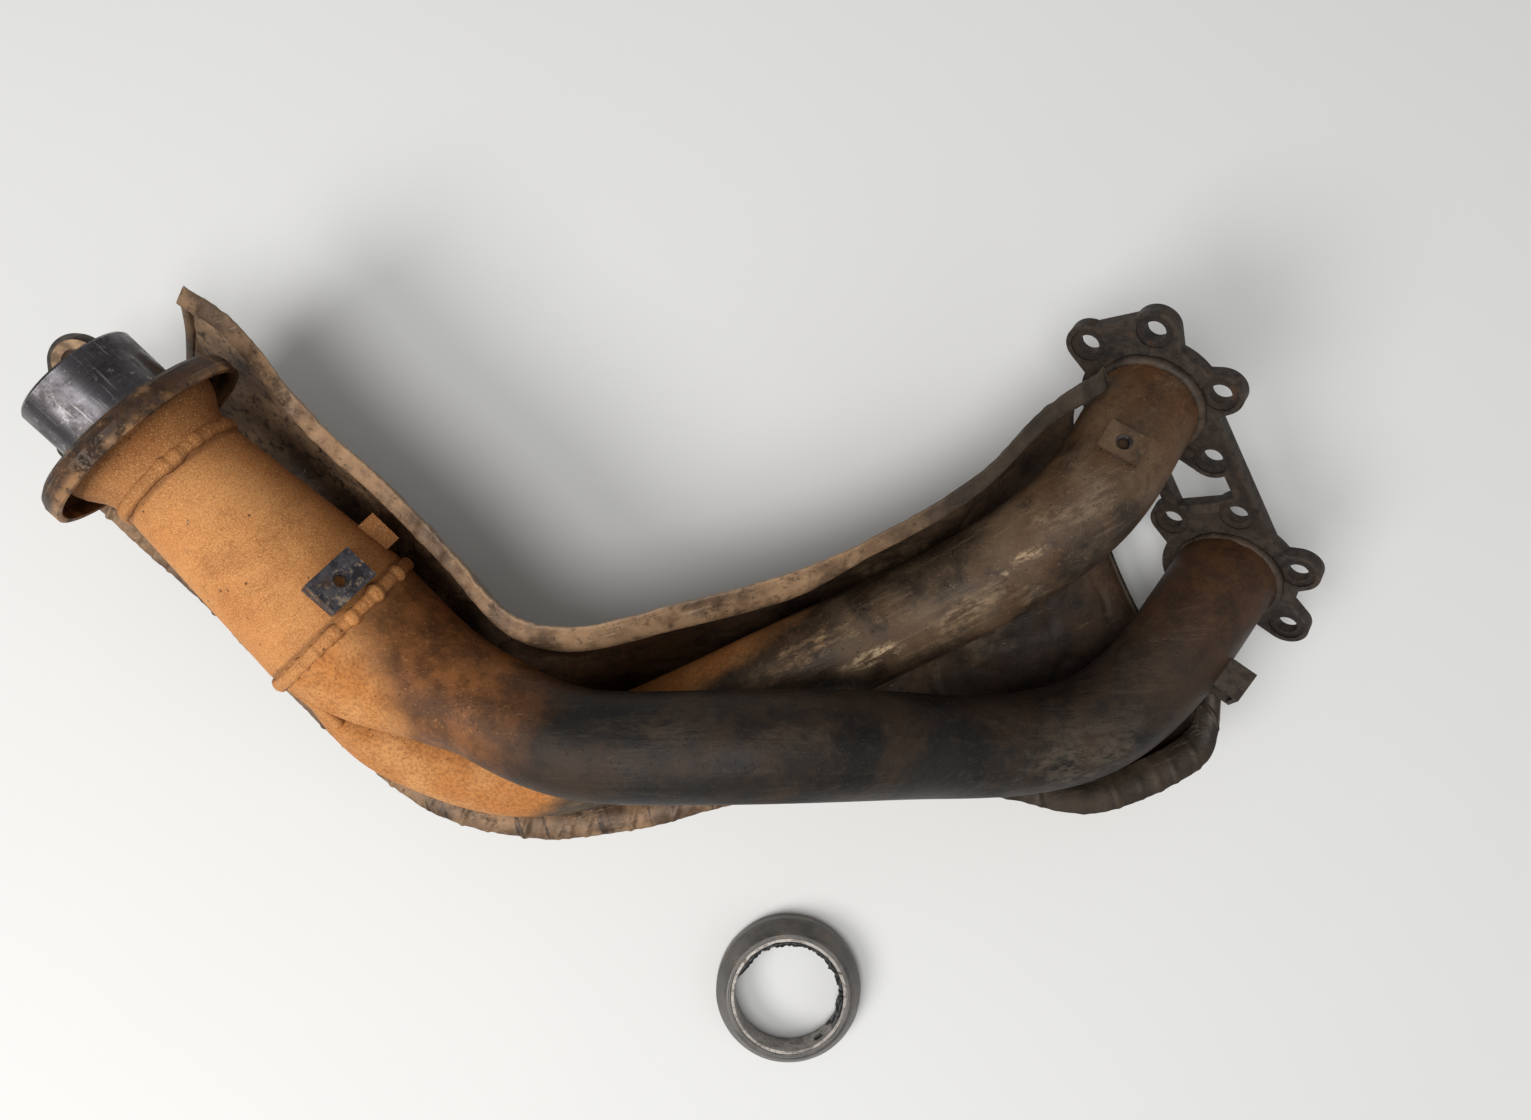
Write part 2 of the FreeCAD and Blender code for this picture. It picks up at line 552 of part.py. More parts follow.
def tab_link(a, ra, b, rb):
    d = math.hypot(b[0] - a[0], b[1] - a[1])
    solids = [Part.makeCylinder(r, TAB_T, tab_pt(c[0], c[1]), TAB_UP) for c, r in ((a, ra), (b, rb))]
    base, open_a = math.atan2(b[1] - a[1], b[0] - a[0]), math.acos((ra - rb) / d)
    quad = [tab_pt(c[0] + r * math.cos(base + k * open_a), c[1] + r * math.sin(base + k * open_a))
            for c, r, k in ((a, ra, 1), (b, rb, 1), (b, rb, -1), (a, ra, -1))]
    solids.append(Part.Face(Part.makePolygon(quad + [quad[0]])).extrude(TAB_UP * TAB_T))
    return solids[0].multiFuse(solids[1:]).removeSplitter()


EYE = (159.0, -9.0)           # distance along the outlet axis, distance to the side
ELBOW, UNDER_CUP, FOOT = (136.0, -38.0), (108.0, -31.0), (88.0, -15.0)
EYE_R, BUSH_R, BUSH_BORE = 12.4, 9.6, 5.6
STRIP_R = 6.5
FOOT_S = 83.0
tab = tab_link(EYE, EYE_R, ELBOW, STRIP_R)
for a, b in ((ELBOW, UNDER_CUP), (UNDER_CUP, FOOT)):
    tab = tab.fuse(tab_link(a, STRIP_R, b, STRIP_R))
foot = frame_box(tab_pt(FOOT_S, FOOT[1]), OUT, TAB_SIDE, TAB_UP, 0, TAB_T, -STRIP_R, STRIP_R, 0, 34)
tab = tab.fuse(foot).cut(cone_skin).cut(Part.makeCylinder(BUSH_R + 0.05, 12, tab_pt(EYE[0], EYE[1], -4), TAB_UP))
parts["support_tab"] = max(tab.Solids, key=lambda s: s.Volume).removeSplitter()
bush = Part.makeCylinder(BUSH_R, 9.0, tab_pt(EYE[0], EYE[1], -3), TAB_UP)
bush = bush.cut(Part.makeCylinder(BUSH_BORE, 14, tab_pt(EYE[0], EYE[1], -6), TAB_UP))
bush = bush.cut(torus(tab_pt(EYE[0], EYE[1], 6.0), TAB_UP, BUSH_R + 0.6, 1.6))
parts["tab_bush"] = bush

# ------------------------------------------------------------ put the origin at the bottom centre
whole = Part.makeCompound(list(parts.values())).BoundBox
ORIGIN = V((whole.XMin + whole.XMax) / 2, (whole.YMin + whole.YMax) / 2, whole.ZMin)
for shape in parts.values():
    shape.translate(ORIGIN * -1)

if __name__ == "__main__":
    os.makedirs("parts", exist_ok=True)
    for name, shape in parts.items():
        if not shape.isValid():
            print("not valid:", name)
        shape.exportStep("parts/%s.step" % name)
    print(len(parts), "parts, origin", ORIGIN)
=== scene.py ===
import json
import math

import bmesh
import bpy
import numpy as np
from mathutils import Matrix, Vector, noise


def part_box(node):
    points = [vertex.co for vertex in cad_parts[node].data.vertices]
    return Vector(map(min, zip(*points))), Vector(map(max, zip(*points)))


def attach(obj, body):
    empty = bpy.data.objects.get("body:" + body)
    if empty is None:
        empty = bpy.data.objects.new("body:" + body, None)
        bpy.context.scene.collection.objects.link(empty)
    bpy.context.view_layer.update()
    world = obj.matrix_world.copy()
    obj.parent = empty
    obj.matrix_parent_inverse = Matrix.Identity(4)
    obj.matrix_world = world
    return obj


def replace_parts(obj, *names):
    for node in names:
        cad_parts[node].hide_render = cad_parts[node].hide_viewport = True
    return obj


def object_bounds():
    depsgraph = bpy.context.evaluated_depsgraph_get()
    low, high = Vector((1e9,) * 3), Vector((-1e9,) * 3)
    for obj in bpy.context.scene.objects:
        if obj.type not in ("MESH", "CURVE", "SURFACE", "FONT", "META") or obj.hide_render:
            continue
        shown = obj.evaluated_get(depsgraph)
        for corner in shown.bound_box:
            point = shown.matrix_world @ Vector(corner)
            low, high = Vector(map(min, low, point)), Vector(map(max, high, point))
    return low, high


# Looks of a two-into-one exhaust header: dusty tubes, a crumpled heat shield,
# rippled weld beads and a loose graphite seal ring.  Metres, in the part's frame.

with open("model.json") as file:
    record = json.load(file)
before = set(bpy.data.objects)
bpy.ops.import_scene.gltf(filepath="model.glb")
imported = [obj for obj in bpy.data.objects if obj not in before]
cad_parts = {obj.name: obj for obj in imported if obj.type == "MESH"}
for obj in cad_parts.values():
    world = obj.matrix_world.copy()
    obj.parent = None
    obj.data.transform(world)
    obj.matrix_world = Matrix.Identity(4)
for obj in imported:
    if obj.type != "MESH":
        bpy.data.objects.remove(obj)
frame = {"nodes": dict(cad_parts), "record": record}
cad_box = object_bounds()
nodes = frame["nodes"]
mounts = {m["name"]: m for m in frame["record"]["mounts"]}
MM = 0.001

# ------------------------------------------------------------ places taken from the frame
BORE_MIDDLE = 117.5                     # of the outlet bore, along the outlet axis from the merge
OUT = Vector(mounts["outlet_spigot"]["axis"]).normalized()
MERGE = Vector(mounts["outlet_bore"]["pos_m"]) - OUT * BORE_MIDDLE * MM
FACE_N = Vector(mounts["head_studs_1"]["axis"]).normalized()
ALONG = (Vector(mounts["head_studs_4"]["pos_m"]) - Vector(mounts["head_studs_2"]["pos_m"])).normalized()
ACROSS = FACE_N.cross(ALONG)
PITCH = mounts["head_studs_1"]["dims"]["pcd_mm"]
# middle of the flange plate and of its two ports, stepped off in mm from the stud holes
PLATE_C = (Vector(mounts["head_studs_2"]["pos_m"]) - ACROSS * 6.5 * MM - ALONG * (PITCH / 2 - 22.6) * MM)
PORTS = [PLATE_C + ACROSS * -9 * MM + ALONG * (9 + k * PITCH) * MM for k in (0, 1)]
SEAL_LOW, SEAL_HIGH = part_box("seal_ring")
SEAL_C = Vector(((SEAL_LOW.x + SEAL_HIGH.x) / 2, (SEAL_LOW.y + SEAL_HIGH.y) / 2, SEAL_LOW.z))
SHIFT = MERGE - Vector((-178.9, -26.8, 71.0)) * MM       # CAD working frame to the part's frame
EYE_HEIGHT = 556 * MM                   # camera above the origin of the CAD working frame
FOCAL_PX, WIDTH_PX = 1140, 1531         # solved focal length of the photo and its width


def place(x, y, z):
    """Point of the CAD working frame, in mm, as a point of the part's frame."""
    return Vector((x, y, z)) * MM + SHIFT


# ------------------------------------------------------------ material nodes
class Look:
    """A small builder for one procedural material."""

    def __init__(self, name):
        self.mat = bpy.data.materials.new(name)
        self.mat.use_nodes = True
        self.tree = self.mat.node_tree
        self.tree.nodes.clear()
        self.out = self.node("ShaderNodeOutputMaterial")
        self.bsdf = self.node("ShaderNodeBsdfPrincipled")
        self.tree.links.new(self.bsdf.outputs[0], self.out.inputs[0])
        self.pos = self.node("ShaderNodeTexCoord").outputs["Object"]

    def node(self, kind, **props):
        n = self.tree.nodes.new(kind)
        for key, value in props.items():
            setattr(n, key, value)
        return n

    def put(self, socket, value):
        if isinstance(value, bpy.types.NodeSocket):
            self.tree.links.new(value, socket)
        elif isinstance(value, (tuple, list)) and len(value) == 3 and socket.type == "RGBA":
            socket.default_value = (*value, 1.0)
        else:
            socket.default_value = value

    def math(self, op, a, b=0.0, clamp=False):
        n = self.node("ShaderNodeMath", operation=op, use_clamp=clamp)
        self.put(n.inputs[0], a)
        self.put(n.inputs[1], b)
        return n.outputs[0]

    def mul(self, a, b):
        return self.math("MULTIPLY", a, b)

    def plus(self, a, b):
        return self.math("ADD", a, b)

    def most(self, a, b):
        return self.math("MAXIMUM", a, b)

    def less(self, a, b):
        return self.math("SUBTRACT", a, b)

    def rise(self, value, low, high):
        """0 below low and 1 above high, smoothly; falls instead when low is above high."""
        n = self.node("ShaderNodeMapRange", interpolation_type="SMOOTHSTEP")
        flip = low > high
        self.put(n.inputs["Value"], value)
        n.inputs["From Min"].default_value = min(low, high)
        n.inputs["From Max"].default_value = max(low, high)
        n.inputs["To Min"].default_value = 1.0 if flip else 0.0
        n.inputs["To Max"].default_value = 0.0 if flip else 1.0
        return n.outputs[0]

    def noise(self, scale, detail=4.0, rough=0.55, vec=None, twist=0.0):
        n = self.node("ShaderNodeTexNoise")
        self.put(n.inputs["Vector"], vec or self.pos)
        n.inputs["Scale"].default_value = scale
        n.inputs["Detail"].default_value = detail
        n.inputs["Roughness"].default_value = rough
        n.inputs["Distortion"].default_value = twist
        return n.outputs["Fac"]

    def cells(self, scale):
        n = self.node("ShaderNodeTexVoronoi", feature="F1")
        self.put(n.inputs["Vector"], self.pos)
        n.inputs["Scale"].default_value = scale
        return n.outputs["Distance"]

    def along(self, direction, origin=(0, 0, 0)):
        """Distance along a direction from an origin."""
        sub = self.node("ShaderNodeVectorMath", operation="SUBTRACT")
        self.put(sub.inputs[0], self.pos)
        sub.inputs[1].default_value = tuple(origin)
        dot = self.node("ShaderNodeVectorMath", operation="DOT_PRODUCT")
        self.put(dot.inputs[0], sub.outputs[0])
        dot.inputs[1].default_value = tuple(direction)
        return dot.outputs["Value"]

    def away(self, point, wobble=0.0, scale=60.0):
        """Distance from a point, its edge made ragged by noise."""
        d = self.node("ShaderNodeVectorMath", operation="DISTANCE")
        self.put(d.inputs[0], self.pos)
        d.inputs[1].default_value = tuple(point)
        if not wobble:
            return d.outputs["Value"]
        ragged = self.mul(self.less(self.noise(scale, 5.0, 0.65), 0.5), wobble)
        return self.plus(d.outputs["Value"], ragged)

    def smear(self, point, axis, wobble, scale):
        """Ragged distance from a point, counted three times slower along an axis."""
        axis = Vector(axis).normalized()
        reach = self.along(axis, point)
        whole = self.away(point)
        squared = self.less(self.mul(whole, whole), self.mul(self.mul(reach, reach), 0.90))
        rest = self.math("SQRT", self.most(squared, 0.0))
        return self.plus(rest, self.mul(self.less(self.noise(scale, 6.0, 0.7), 0.5), wobble))

    def grain(self, axis, long_scale, cross_scale):
        """Coordinates stretched along an axis, for brushed marks and streaks."""
        axis = Vector(axis).normalized()
        side = axis.cross(Vector((0.31, 0.27, 0.91))).normalized()
        third = axis.cross(side)
        n = self.node("ShaderNodeCombineXYZ")
        scales = (long_scale, cross_scale, cross_scale)
        for socket, direction, scale in zip(n.inputs, (axis, side, third), scales):
            self.put(socket, self.mul(self.along(direction), scale))
        return n.outputs[0]

    def mix(self, fac, a, b):
        n = self.node("ShaderNodeMix", data_type="RGBA")
        self.put(n.inputs[0], fac)
        self.put(n.inputs[6], a)
        self.put(n.inputs[7], b)
        return n.outputs[2]

    def wear(self):
        """1 on sharp outward edges."""
        n = self.node("ShaderNodeNewGeometry")
        return self.rise(n.outputs["Pointiness"], 0.52, 0.60)

    def finish(self, colour, rough, metal=0.0, height=None, strength=0.4, depth=0.001, **sockets):
        self.put(self.bsdf.inputs["Base Color"], colour)
        self.put(self.bsdf.inputs["Roughness"], rough)
        self.put(self.bsdf.inputs["Metallic"], metal)
        for name, value in sockets.items():
            self.put(self.bsdf.inputs[name.replace("_", " ")], value)
        if height is not None:
            b = self.node("ShaderNodeBump")
            b.inputs["Strength"].default_value = strength
            b.inputs["Distance"].default_value = depth
            self.put(b.inputs["Height"], height)
            self.tree.links.new(b.outputs[0], self.bsdf.inputs["Normal"])
        return self.mat


CONE_SIDE = (0.671, 0.708, -0.22)       # towards the shield wall beside the cone
TAN = (0.50, 0.195, 0.052)
TAN_PALE = (0.62, 0.295, 0.105)
RUST = (0.14, 0.048, 0.011)
SOOT = (0.0052, 0.0042, 0.0036)
GREY = (0.0155, 0.0120, 0.0095)
DUST = (0.30, 0.205, 0.115)
CREAM = (0.55, 0.40, 0.24)


def speckle(k, scale, low, high):
    return k.rise(k.noise(scale, 3.0, 0.6), low, high)


def dusty_tube(name, tan_mask, streak_axis, patches, base, brown, dust, streak_tint):
    """Heat-blackened tube: soot, brown bloom, streaks along the tube, tan dust and patches.

    base is its lighter and darker colour; brown and dust are the strengths of bloom and grit.
    """
    k = Look(name)
    cloud = k.rise(k.noise(26.0, 6.0, 0.62), 0.35, 0.68)
    colour = k.mix(cloud, base[1], base[0])
    bloom = k.mul(k.rise(k.noise(24.0, 7.0, 0.70, twist=0.4), 0.42, 0.62), brown)
    colour = k.mix(bloom, colour, (0.075, 0.036, 0.015))
    streak = k.rise(k.noise(1.0, 6.0, 0.75, vec=k.grain(streak_axis, 26.0, 230.0)), 0.50, 0.72)
    colour = k.mix(k.mul(streak, 0.30), colour, streak_tint)
    blots = k.rise(k.noise(58.0, 7.0, 0.72, twist=0.3), 0.50, 0.66)
    colour = k.mix(k.mul(blots, 0.60), colour, SOOT)
    grit = speckle(k, 900.0, 0.60, 0.78)
    colour = k.mix(k.mul(grit, dust), colour, DUST)
    pock = k.rise(k.cells(260.0), 0.16, 0.05)
    marks = k.grain(streak_axis, 90.0, 330.0)
    for point, radius, tint, amount in patches:
        spot = k.rise(k.smear(point, streak_axis, radius * 2.2, 95.0), radius, radius * 0.25)
        spot = k.mul(spot, k.rise(k.noise(1.0, 6.0, 0.78, vec=marks), 0.40, 0.60))
        colour = k.mix(k.mul(spot, amount), colour, tint)
    tan, rust = tan_mask(k)
    burnt = k.rise(k.noise(75.0, 6.0, 0.7), 0.36, 0.64)
    burnt = k.mix(burnt, (0.085, 0.032, 0.009), (0.210, 0.078, 0.021))
    burnt = k.mix(k.mul(speckle(k, 620.0, 0.60, 0.70), 0.6), burnt, (0.33, 0.15, 0.05))
    colour = k.mix(rust, colour, burnt)
    fleck = speckle(k, 700.0, 0.34, 0.62)
    warm = k.mix(k.rise(k.noise(38.0, 5.0, 0.6), 0.36, 0.66), TAN, TAN_PALE)
    warm = k.mix(k.mul(k.less(1.0, fleck), 0.42), warm, RUST)
    colour = k.mix(tan, colour, warm)
    colour = k.mix(k.mul(pock, 0.5), colour, (0.02, 0.012, 0.007))
    coarse = k.plus(k.mul(k.noise(180.0, 5.0, 0.6), 0.5), k.mul(streak, 0.25))
    height = k.plus(k.mul(k.noise(1100.0, 3.0, 0.6), 0.35), coarse)
    height = k.less(height, k.mul(pock, 0.5))
    rough = k.plus(k.mul(tan, 0.28), k.plus(0.46, k.mul(cloud, 0.20)))
    return k.finish(colour, rough, 0.08, height, 0.5, 0.0008, Specular_IOR_Level=0.28)


def baked_dust_and_shade(name, deep):
    """Orange-tan dust baked onto the collector, with painted shade darkening its side towards CONE_SIDE; deep
    is how much brown rust shows.
    """
    k = Look(name)
    cloud = k.rise(k.noise(30.0, 6.0, 0.6), 0.34, 0.68)
    colour = k.mix(k.mul(cloud, 0.6), TAN, TAN_PALE)
    # painted shade: the side of the collector towards CONE_SIDE is darkened
    ragged = k.mul(k.less(k.noise(40.0, 5.0, 0.6), 0.5), 0.02)
    shade = k.rise(k.plus(k.along(CONE_SIDE, MERGE), ragged), 0.008, 0.036)
    colour = k.mix(k.mul(shade, 0.60), colour, (0.19, 0.070, 0.018))
    s = k.along(OUT, MERGE)
    ends = k.most(k.rise(s, 0.066, 0.100), k.mul(k.rise(s, 0.016, 0.002), 0.35))
    rusty = k.plus(k.mul(ends, 0.48), deep)
    rusty = k.math("ADD", rusty, k.mul(k.less(k.noise(70.0, 6.0, 0.7), 0.5), 0.9), True)
    colour = k.mix(rusty, colour, RUST)
    wave = k.rise(k.noise(1.0, 4.0, 0.65, vec=k.grain(OUT, 330.0, 60.0)), 0.52, 0.74)
    colour = k.mix(k.mul(wave, 0.30), colour, (0.26, 0.105, 0.032))
    stain = k.rise(k.noise(22.0, 7.0, 0.72, twist=0.5), 0.50, 0.66)
    colour = k.mix(k.mul(stain, 0.45), colour, (0.27, 0.095, 0.024))
    bald = k.rise(k.noise(85.0, 5.0, 0.7), 0.655, 0.70)
    colour = k.mix(k.mul(bald, 0.75), colour, (0.085, 0.070, 0.058))
    sand = k.noise(1500.0, 2.0, 0.6)
    colour = k.mix(k.mul(k.rise(sand, 0.50, 0.66), 0.38), colour, (0.72, 0.42, 0.18))
    colour = k.mix(k.mul(k.rise(sand, 0.48, 0.34), 0.40), colour, (0.22, 0.080, 0.022))
    colour = k.mix(k.mul(speckle(k, 620.0, 0.62, 0.74), 0.55), colour, (0.07, 0.030, 0.011))
    toes = k.most(k.rise(k.math("ABSOLUTE", k.less(s, 0.0865)), 0.0022, 0.0),
                  k.rise(k.math("ABSOLUTE", k.less(s, 0.0037)), 0.0020, 0.0))
    colour = k.mix(k.mul(toes, 0.55), colour, (0.10, 0.035, 0.010))
    pits = k.rise(k.cells(120.0), 0.10, 0.03)
    colour = k.mix(k.mul(pits, 0.8), colour, (0.05, 0.022, 0.009))
    coarse = k.plus(k.mul(k.noise(900.0, 3.0, 0.6), 0.35), k.mul(k.noise(140.0), 0.4))
    height = k.less(k.plus(k.mul(wave, 0.5), coarse), k.mul(pits, 1.2))
    rough = k.plus(0.72, k.mul(cloud, 0.12))
    return k.finish(colour, rough, 0.0, height, 0.45, 0.0007, Specular_IOR_Level=0.3)


def rusty_plate(name, dark, light, edge):
    """Dark rusted plate, paler where its edges are rubbed."""
    k = Look(name)
    cloud = k.rise(k.noise(55.0, 7.0, 0.66), 0.34, 0.66)
    colour = k.mix(cloud, dark, light)
    colour = k.mix(k.mul(k.rise(k.noise(120.0, 5.0, 0.6), 0.58, 0.74), 0.6), colour, (0.085, 0.033, 0.011))
    colour = k.mix(k.mul(speckle(k, 800.0, 0.62, 0.74), 0.4), colour, (0.12, 0.085, 0.055))
    rubbed = k.mul(k.wear(), k.rise(k.noise(240.0, 4.0, 0.6), 0.35, 0.6))
    colour = k.mix(k.mul(rubbed, 0.35), colour, edge)
    height = k.plus(k.mul(k.noise(420.0, 6.0, 0.7), 0.8), k.mul(k.noise(90.0), 0.4))
    return k.finish(colour, k.plus(0.58, k.mul(cloud, 0.2)), 0.15, height, 0.5, 0.0009)


def turned_steel():
    """Clean outlet pipe: bright turned steel, scratched lengthways, soot at its root."""
    k = Look("spigot_steel")
    fine = k.noise(1.0, 4.0, 0.6, vec=k.grain(OUT, 1700.0, 55.0))
    scratch = k.rise(k.noise(1.0, 3.0, 0.7, vec=k.grain(OUT, 40.0, 900.0)), 0.60, 0.72)
    stain = k.rise(k.noise(75.0, 7.0, 0.72), 0.42, 0.62)
    nick = k.rise(k.noise(260.0, 6.0, 0.8), 0.60, 0.66)
    colour = k.mix(fine, (0.075, 0.070, 0.076), (0.150, 0.142, 0.150))
    colour = k.mix(k.mul(stain, 0.65), colour, (0.030, 0.024, 0.023))
    colour = k.mix(k.mul(scratch, 0.55), colour, (0.42, 0.40, 0.39))
    colour = k.mix(k.mul(nick, 0.7), colour, (0.46, 0.43, 0.40))
    root = k.rise(k.plus(k.along(OUT, MERGE), k.mul(k.less(k.noise(150.0), 0.5), 0.006)), 0.121, 0.114)
    colour = k.mix(root, colour, (0.035, 0.024, 0.016))
    rough = k.plus(0.30, k.plus(k.mul(stain, 0.18), k.mul(root, 0.4)))
    height = k.plus(k.mul(fine, 0.6), k.mul(scratch, -0.8))
    return k.finish(colour, rough, k.less(0.95, k.mul(root, 0.8)), height, 0.22, 0.0003)


def cup_steel():
    """Rusty pressed cup, rubbed bare and scored on its edge."""
    k = Look("cup_rust")
    cloud = k.rise(k.noise(70.0, 7.0, 0.66), 0.34, 0.68)
    colour = k.mix(cloud, (0.026, 0.013, 0.006), (0.105, 0.047, 0.018))
    s = k.along(OUT, MERGE)
    rim = k.rise(s, 0.1085, 0.1050)
    patchy = k.mul(0.75, k.rise(k.noise(48.0, 4.0, 0.6), 0.36, 0.60))
    colour = k.mix(k.mul(rim, patchy), colour, (0.40, 0.205, 0.085))
    score = k.rise(k.noise(1.0, 4.0, 0.7, vec=k.grain(OUT, 900.0, 26.0)), 0.58, 0.70)
    colour = k.mix(k.mul(score, 0.5), colour, (0.22, 0.165, 0.125))
    scab = k.rise(k.noise(170.0, 7.0, 0.80), 0.53, 0.60)
    colour = k.mix(k.mul(scab, 0.75), colour, (0.022, 0.011, 0.006))
    dusty = k.rise(k.noise(95.0, 6.0, 0.75), 0.55, 0.64)
    colour = k.mix(k.mul(dusty, 0.55), colour, (0.31, 0.165, 0.075))
    height = k.plus(k.mul(k.noise(500.0, 5.0, 0.7), 0.6), k.plus(k.mul(score, 0.7), k.mul(scab, -0.9)))
    return k.finish(colour, k.plus(0.45, k.mul(cloud, 0.25)), 0.35, height, 0.5, 0.0007)


def bracket_steel():
    """Dark blue-grey folded steel with cream specks of grit."""
    k = Look("bracket_steel")
    cloud = k.rise(k.noise(150.0, 6.0, 0.65), 0.36, 0.66)
    colour = k.mix(cloud, (0.022, 0.020, 0.025), (0.085, 0.080, 0.090))
    colour = k.mix(k.mul(k.rise(k.noise(230.0, 6.0, 0.8), 0.52, 0.62), 0.8), colour, (0.36, 0.27, 0.18))
    colour = k.mix(k.mul(k.rise(k.noise(120.0), 0.56, 0.70), 0.5), colour, (0.11, 0.055, 0.028))
    height = k.mul(k.noise(700.0, 5.0, 0.7), 0.8)
    return k.finish(colour, k.plus(0.42, k.mul(cloud, 0.2)), 0.45, height, 0.4, 0.0006)


def foil(name, inside):
    """Crumpled heat-shield skin; the inside is paler near its upper lip, dust mixed with painted light on the
    upper wall, and sooty in its folds.
    """
    k = Look(name)
    cloud = k.rise(k.noise(32.0, 7.0, 0.66), 0.34, 0.68)
    lit, dim = (0.26, 0.175, 0.105), (0.10, 0.068, 0.042)
    if inside:
        lit, dim = (0.068, 0.034, 0.015), (0.009, 0.0045, 0.0022)
    colour = k.mix(cloud, dim, lit)
    if inside:
        ragged = k.mul(k.less(k.noise(38.0, 6.0, 0.66), 0.5), 0.030)
        # dust and painted light: the inner wall is paler high up near the upper lip, most on the left
        valley = k.mul(k.rise(k.along((1, 0, 0)), -0.125, -0.050), 0.026)
        high = k.rise(k.less(k.plus(k.along((0, 0, 1)), ragged), valley), 0.018, 0.052)
        left = k.rise(k.plus(k.along((1, 0, 0)), ragged), 0.090, -0.040)
        dusty = k.mix(cloud, (0.20, 0.112, 0.058), (0.55, 0.355, 0.21))
        colour = k.mix(k.mul(high, k.plus(0.22, k.mul(left, 0.78))), colour, dusty)
        floor_dust = k.rise(k.away(place(-75, -42, 45), 0.040, 60.0), 0.075, 0.020)
        colour = k.mix(k.mul(floor_dust, 0.75), colour, (0.11, 0.050, 0.019))
        wedge = k.rise(k.away(place(78, -28, 40), 0.040, 60.0), 0.050, 0.022)
        wedge = k.mul(wedge, k.rise(k.noise(45.0, 6.0, 0.6), 0.40, 0.62))
        colour = k.mix(wedge, colour, (0.22, 0.150, 0.080))
        crack = k.rise(k.math("ABSOLUTE", k.less(k.noise(17.0, 2.0, 0.5, twist=0.3), 0.5)), 0.008, 0.002)
        crack = k.mul(crack, k.mul(left, k.less(0.8, k.mul(high, 0.7))))
        dirt = k.rise(k.noise(150.0, 7.0, 0.80), 0.525, 0.585)
        colour = k.mix(k.mul(dirt, 0.80), colour, (0.034, 0.017, 0.009))
        colour = k.mix(k.mul(crack, 0.85), colour, (0.014, 0.007, 0.004))
    rub = k.rise(k.noise(1.0, 5.0, 0.7, vec=k.grain((0.9, 0.4, 0.0), 60.0, 340.0)), 0.58, 0.78)
    colour = k.mix(k.mul(rub, 0.28), colour, (0.34, 0.24, 0.150))
    rust = k.rise(k.noise(110.0, 5.0, 0.6), 0.58, 0.72)
    colour = k.mix(k.mul(rust, 0.45), colour, (0.095, 0.040, 0.014))
    colour = k.mix(k.mul(speckle(k, 420.0, 0.58, 0.68), 0.7), colour, (0.022, 0.013, 0.008))
    crumple = k.plus(k.mul(rub, 0.3), k.mul(k.cells(75.0), 0.7))
    height = k.plus(k.mul(k.noise(380.0, 6.0, 0.7), 0.5), crumple)
    if inside:
        height = k.less(height, k.mul(crack, 0.8))
    return k.finish(colour, k.plus(0.52, k.mul(cloud, 0.22)), 0.2, height, 0.6, 0.0011)


def hem_steel():
    """Folded edge of the shield: tan dust, rub marks, a painted highlight along its rolled rim and dark
    seams.
    """
    k = Look("hem_steel")
    cloud = k.rise(k.noise(48.0, 6.0, 0.66), 0.34, 0.66)
    right = k.rise(k.plus(k.along((1, 0, 0)), k.mul(k.less(k.noise(45.0), 0.5), 0.05)), 0.055, 0.125)
    tan = k.mix(cloud, (0.085, 0.048, 0.026), (0.31, 0.185, 0.098))
    dim = k.mix(cloud, (0.016, 0.010, 0.006), (0.052, 0.035, 0.021))
    colour = k.mix(right, tan, dim)
    rub = k.rise(k.noise(1.0, 5.0, 0.7, vec=k.grain((0.95, 0.3, 0.0), 45.0, 420.0)), 0.54, 0.74)
    colour = k.mix(k.mul(rub, k.less(0.45, k.mul(right, 0.36))), colour, (0.42, 0.31, 0.20))
    soot = k.rise(k.noise(210.0, 5.0, 0.7), 0.57, 0.68)
    colour = k.mix(k.mul(soot, 0.7), colour, (0.030, 0.018, 0.010))
    seams = k.noise(1.0, 5.0, 0.7, vec=k.grain((0.95, 0.3, 0.0), 190.0, 30.0))
    seams = k.mul(k.rise(seams, 0.56, 0.64), k.rise(k.along((0, 0, 1)), 0.062, 0.054))
    colour = k.mix(k.mul(seams, 0.8), colour, (0.020, 0.011, 0.006))
    grit = k.rise(k.noise(170.0, 7.0, 0.80), 0.545, 0.60)
    colour = k.mix(k.mul(grit, 0.6), colour, (0.045, 0.025, 0.014))
    # painted highlight: the rolled outer rim is lightened, less towards the right
    rim = k.mul(k.wear(), k.less(0.6, k.mul(right, 0.45)))
    colour = k.mix(rim, colour, (0.50, 0.38, 0.26))
    height = k.plus(k.mul(k.noise(420.0, 6.0, 0.7), 0.5), k.mul(rub, 0.5))
    return k.finish(colour, k.plus(0.45, k.mul(cloud, 0.2)), 0.35, height, 0.5, 0.0008)


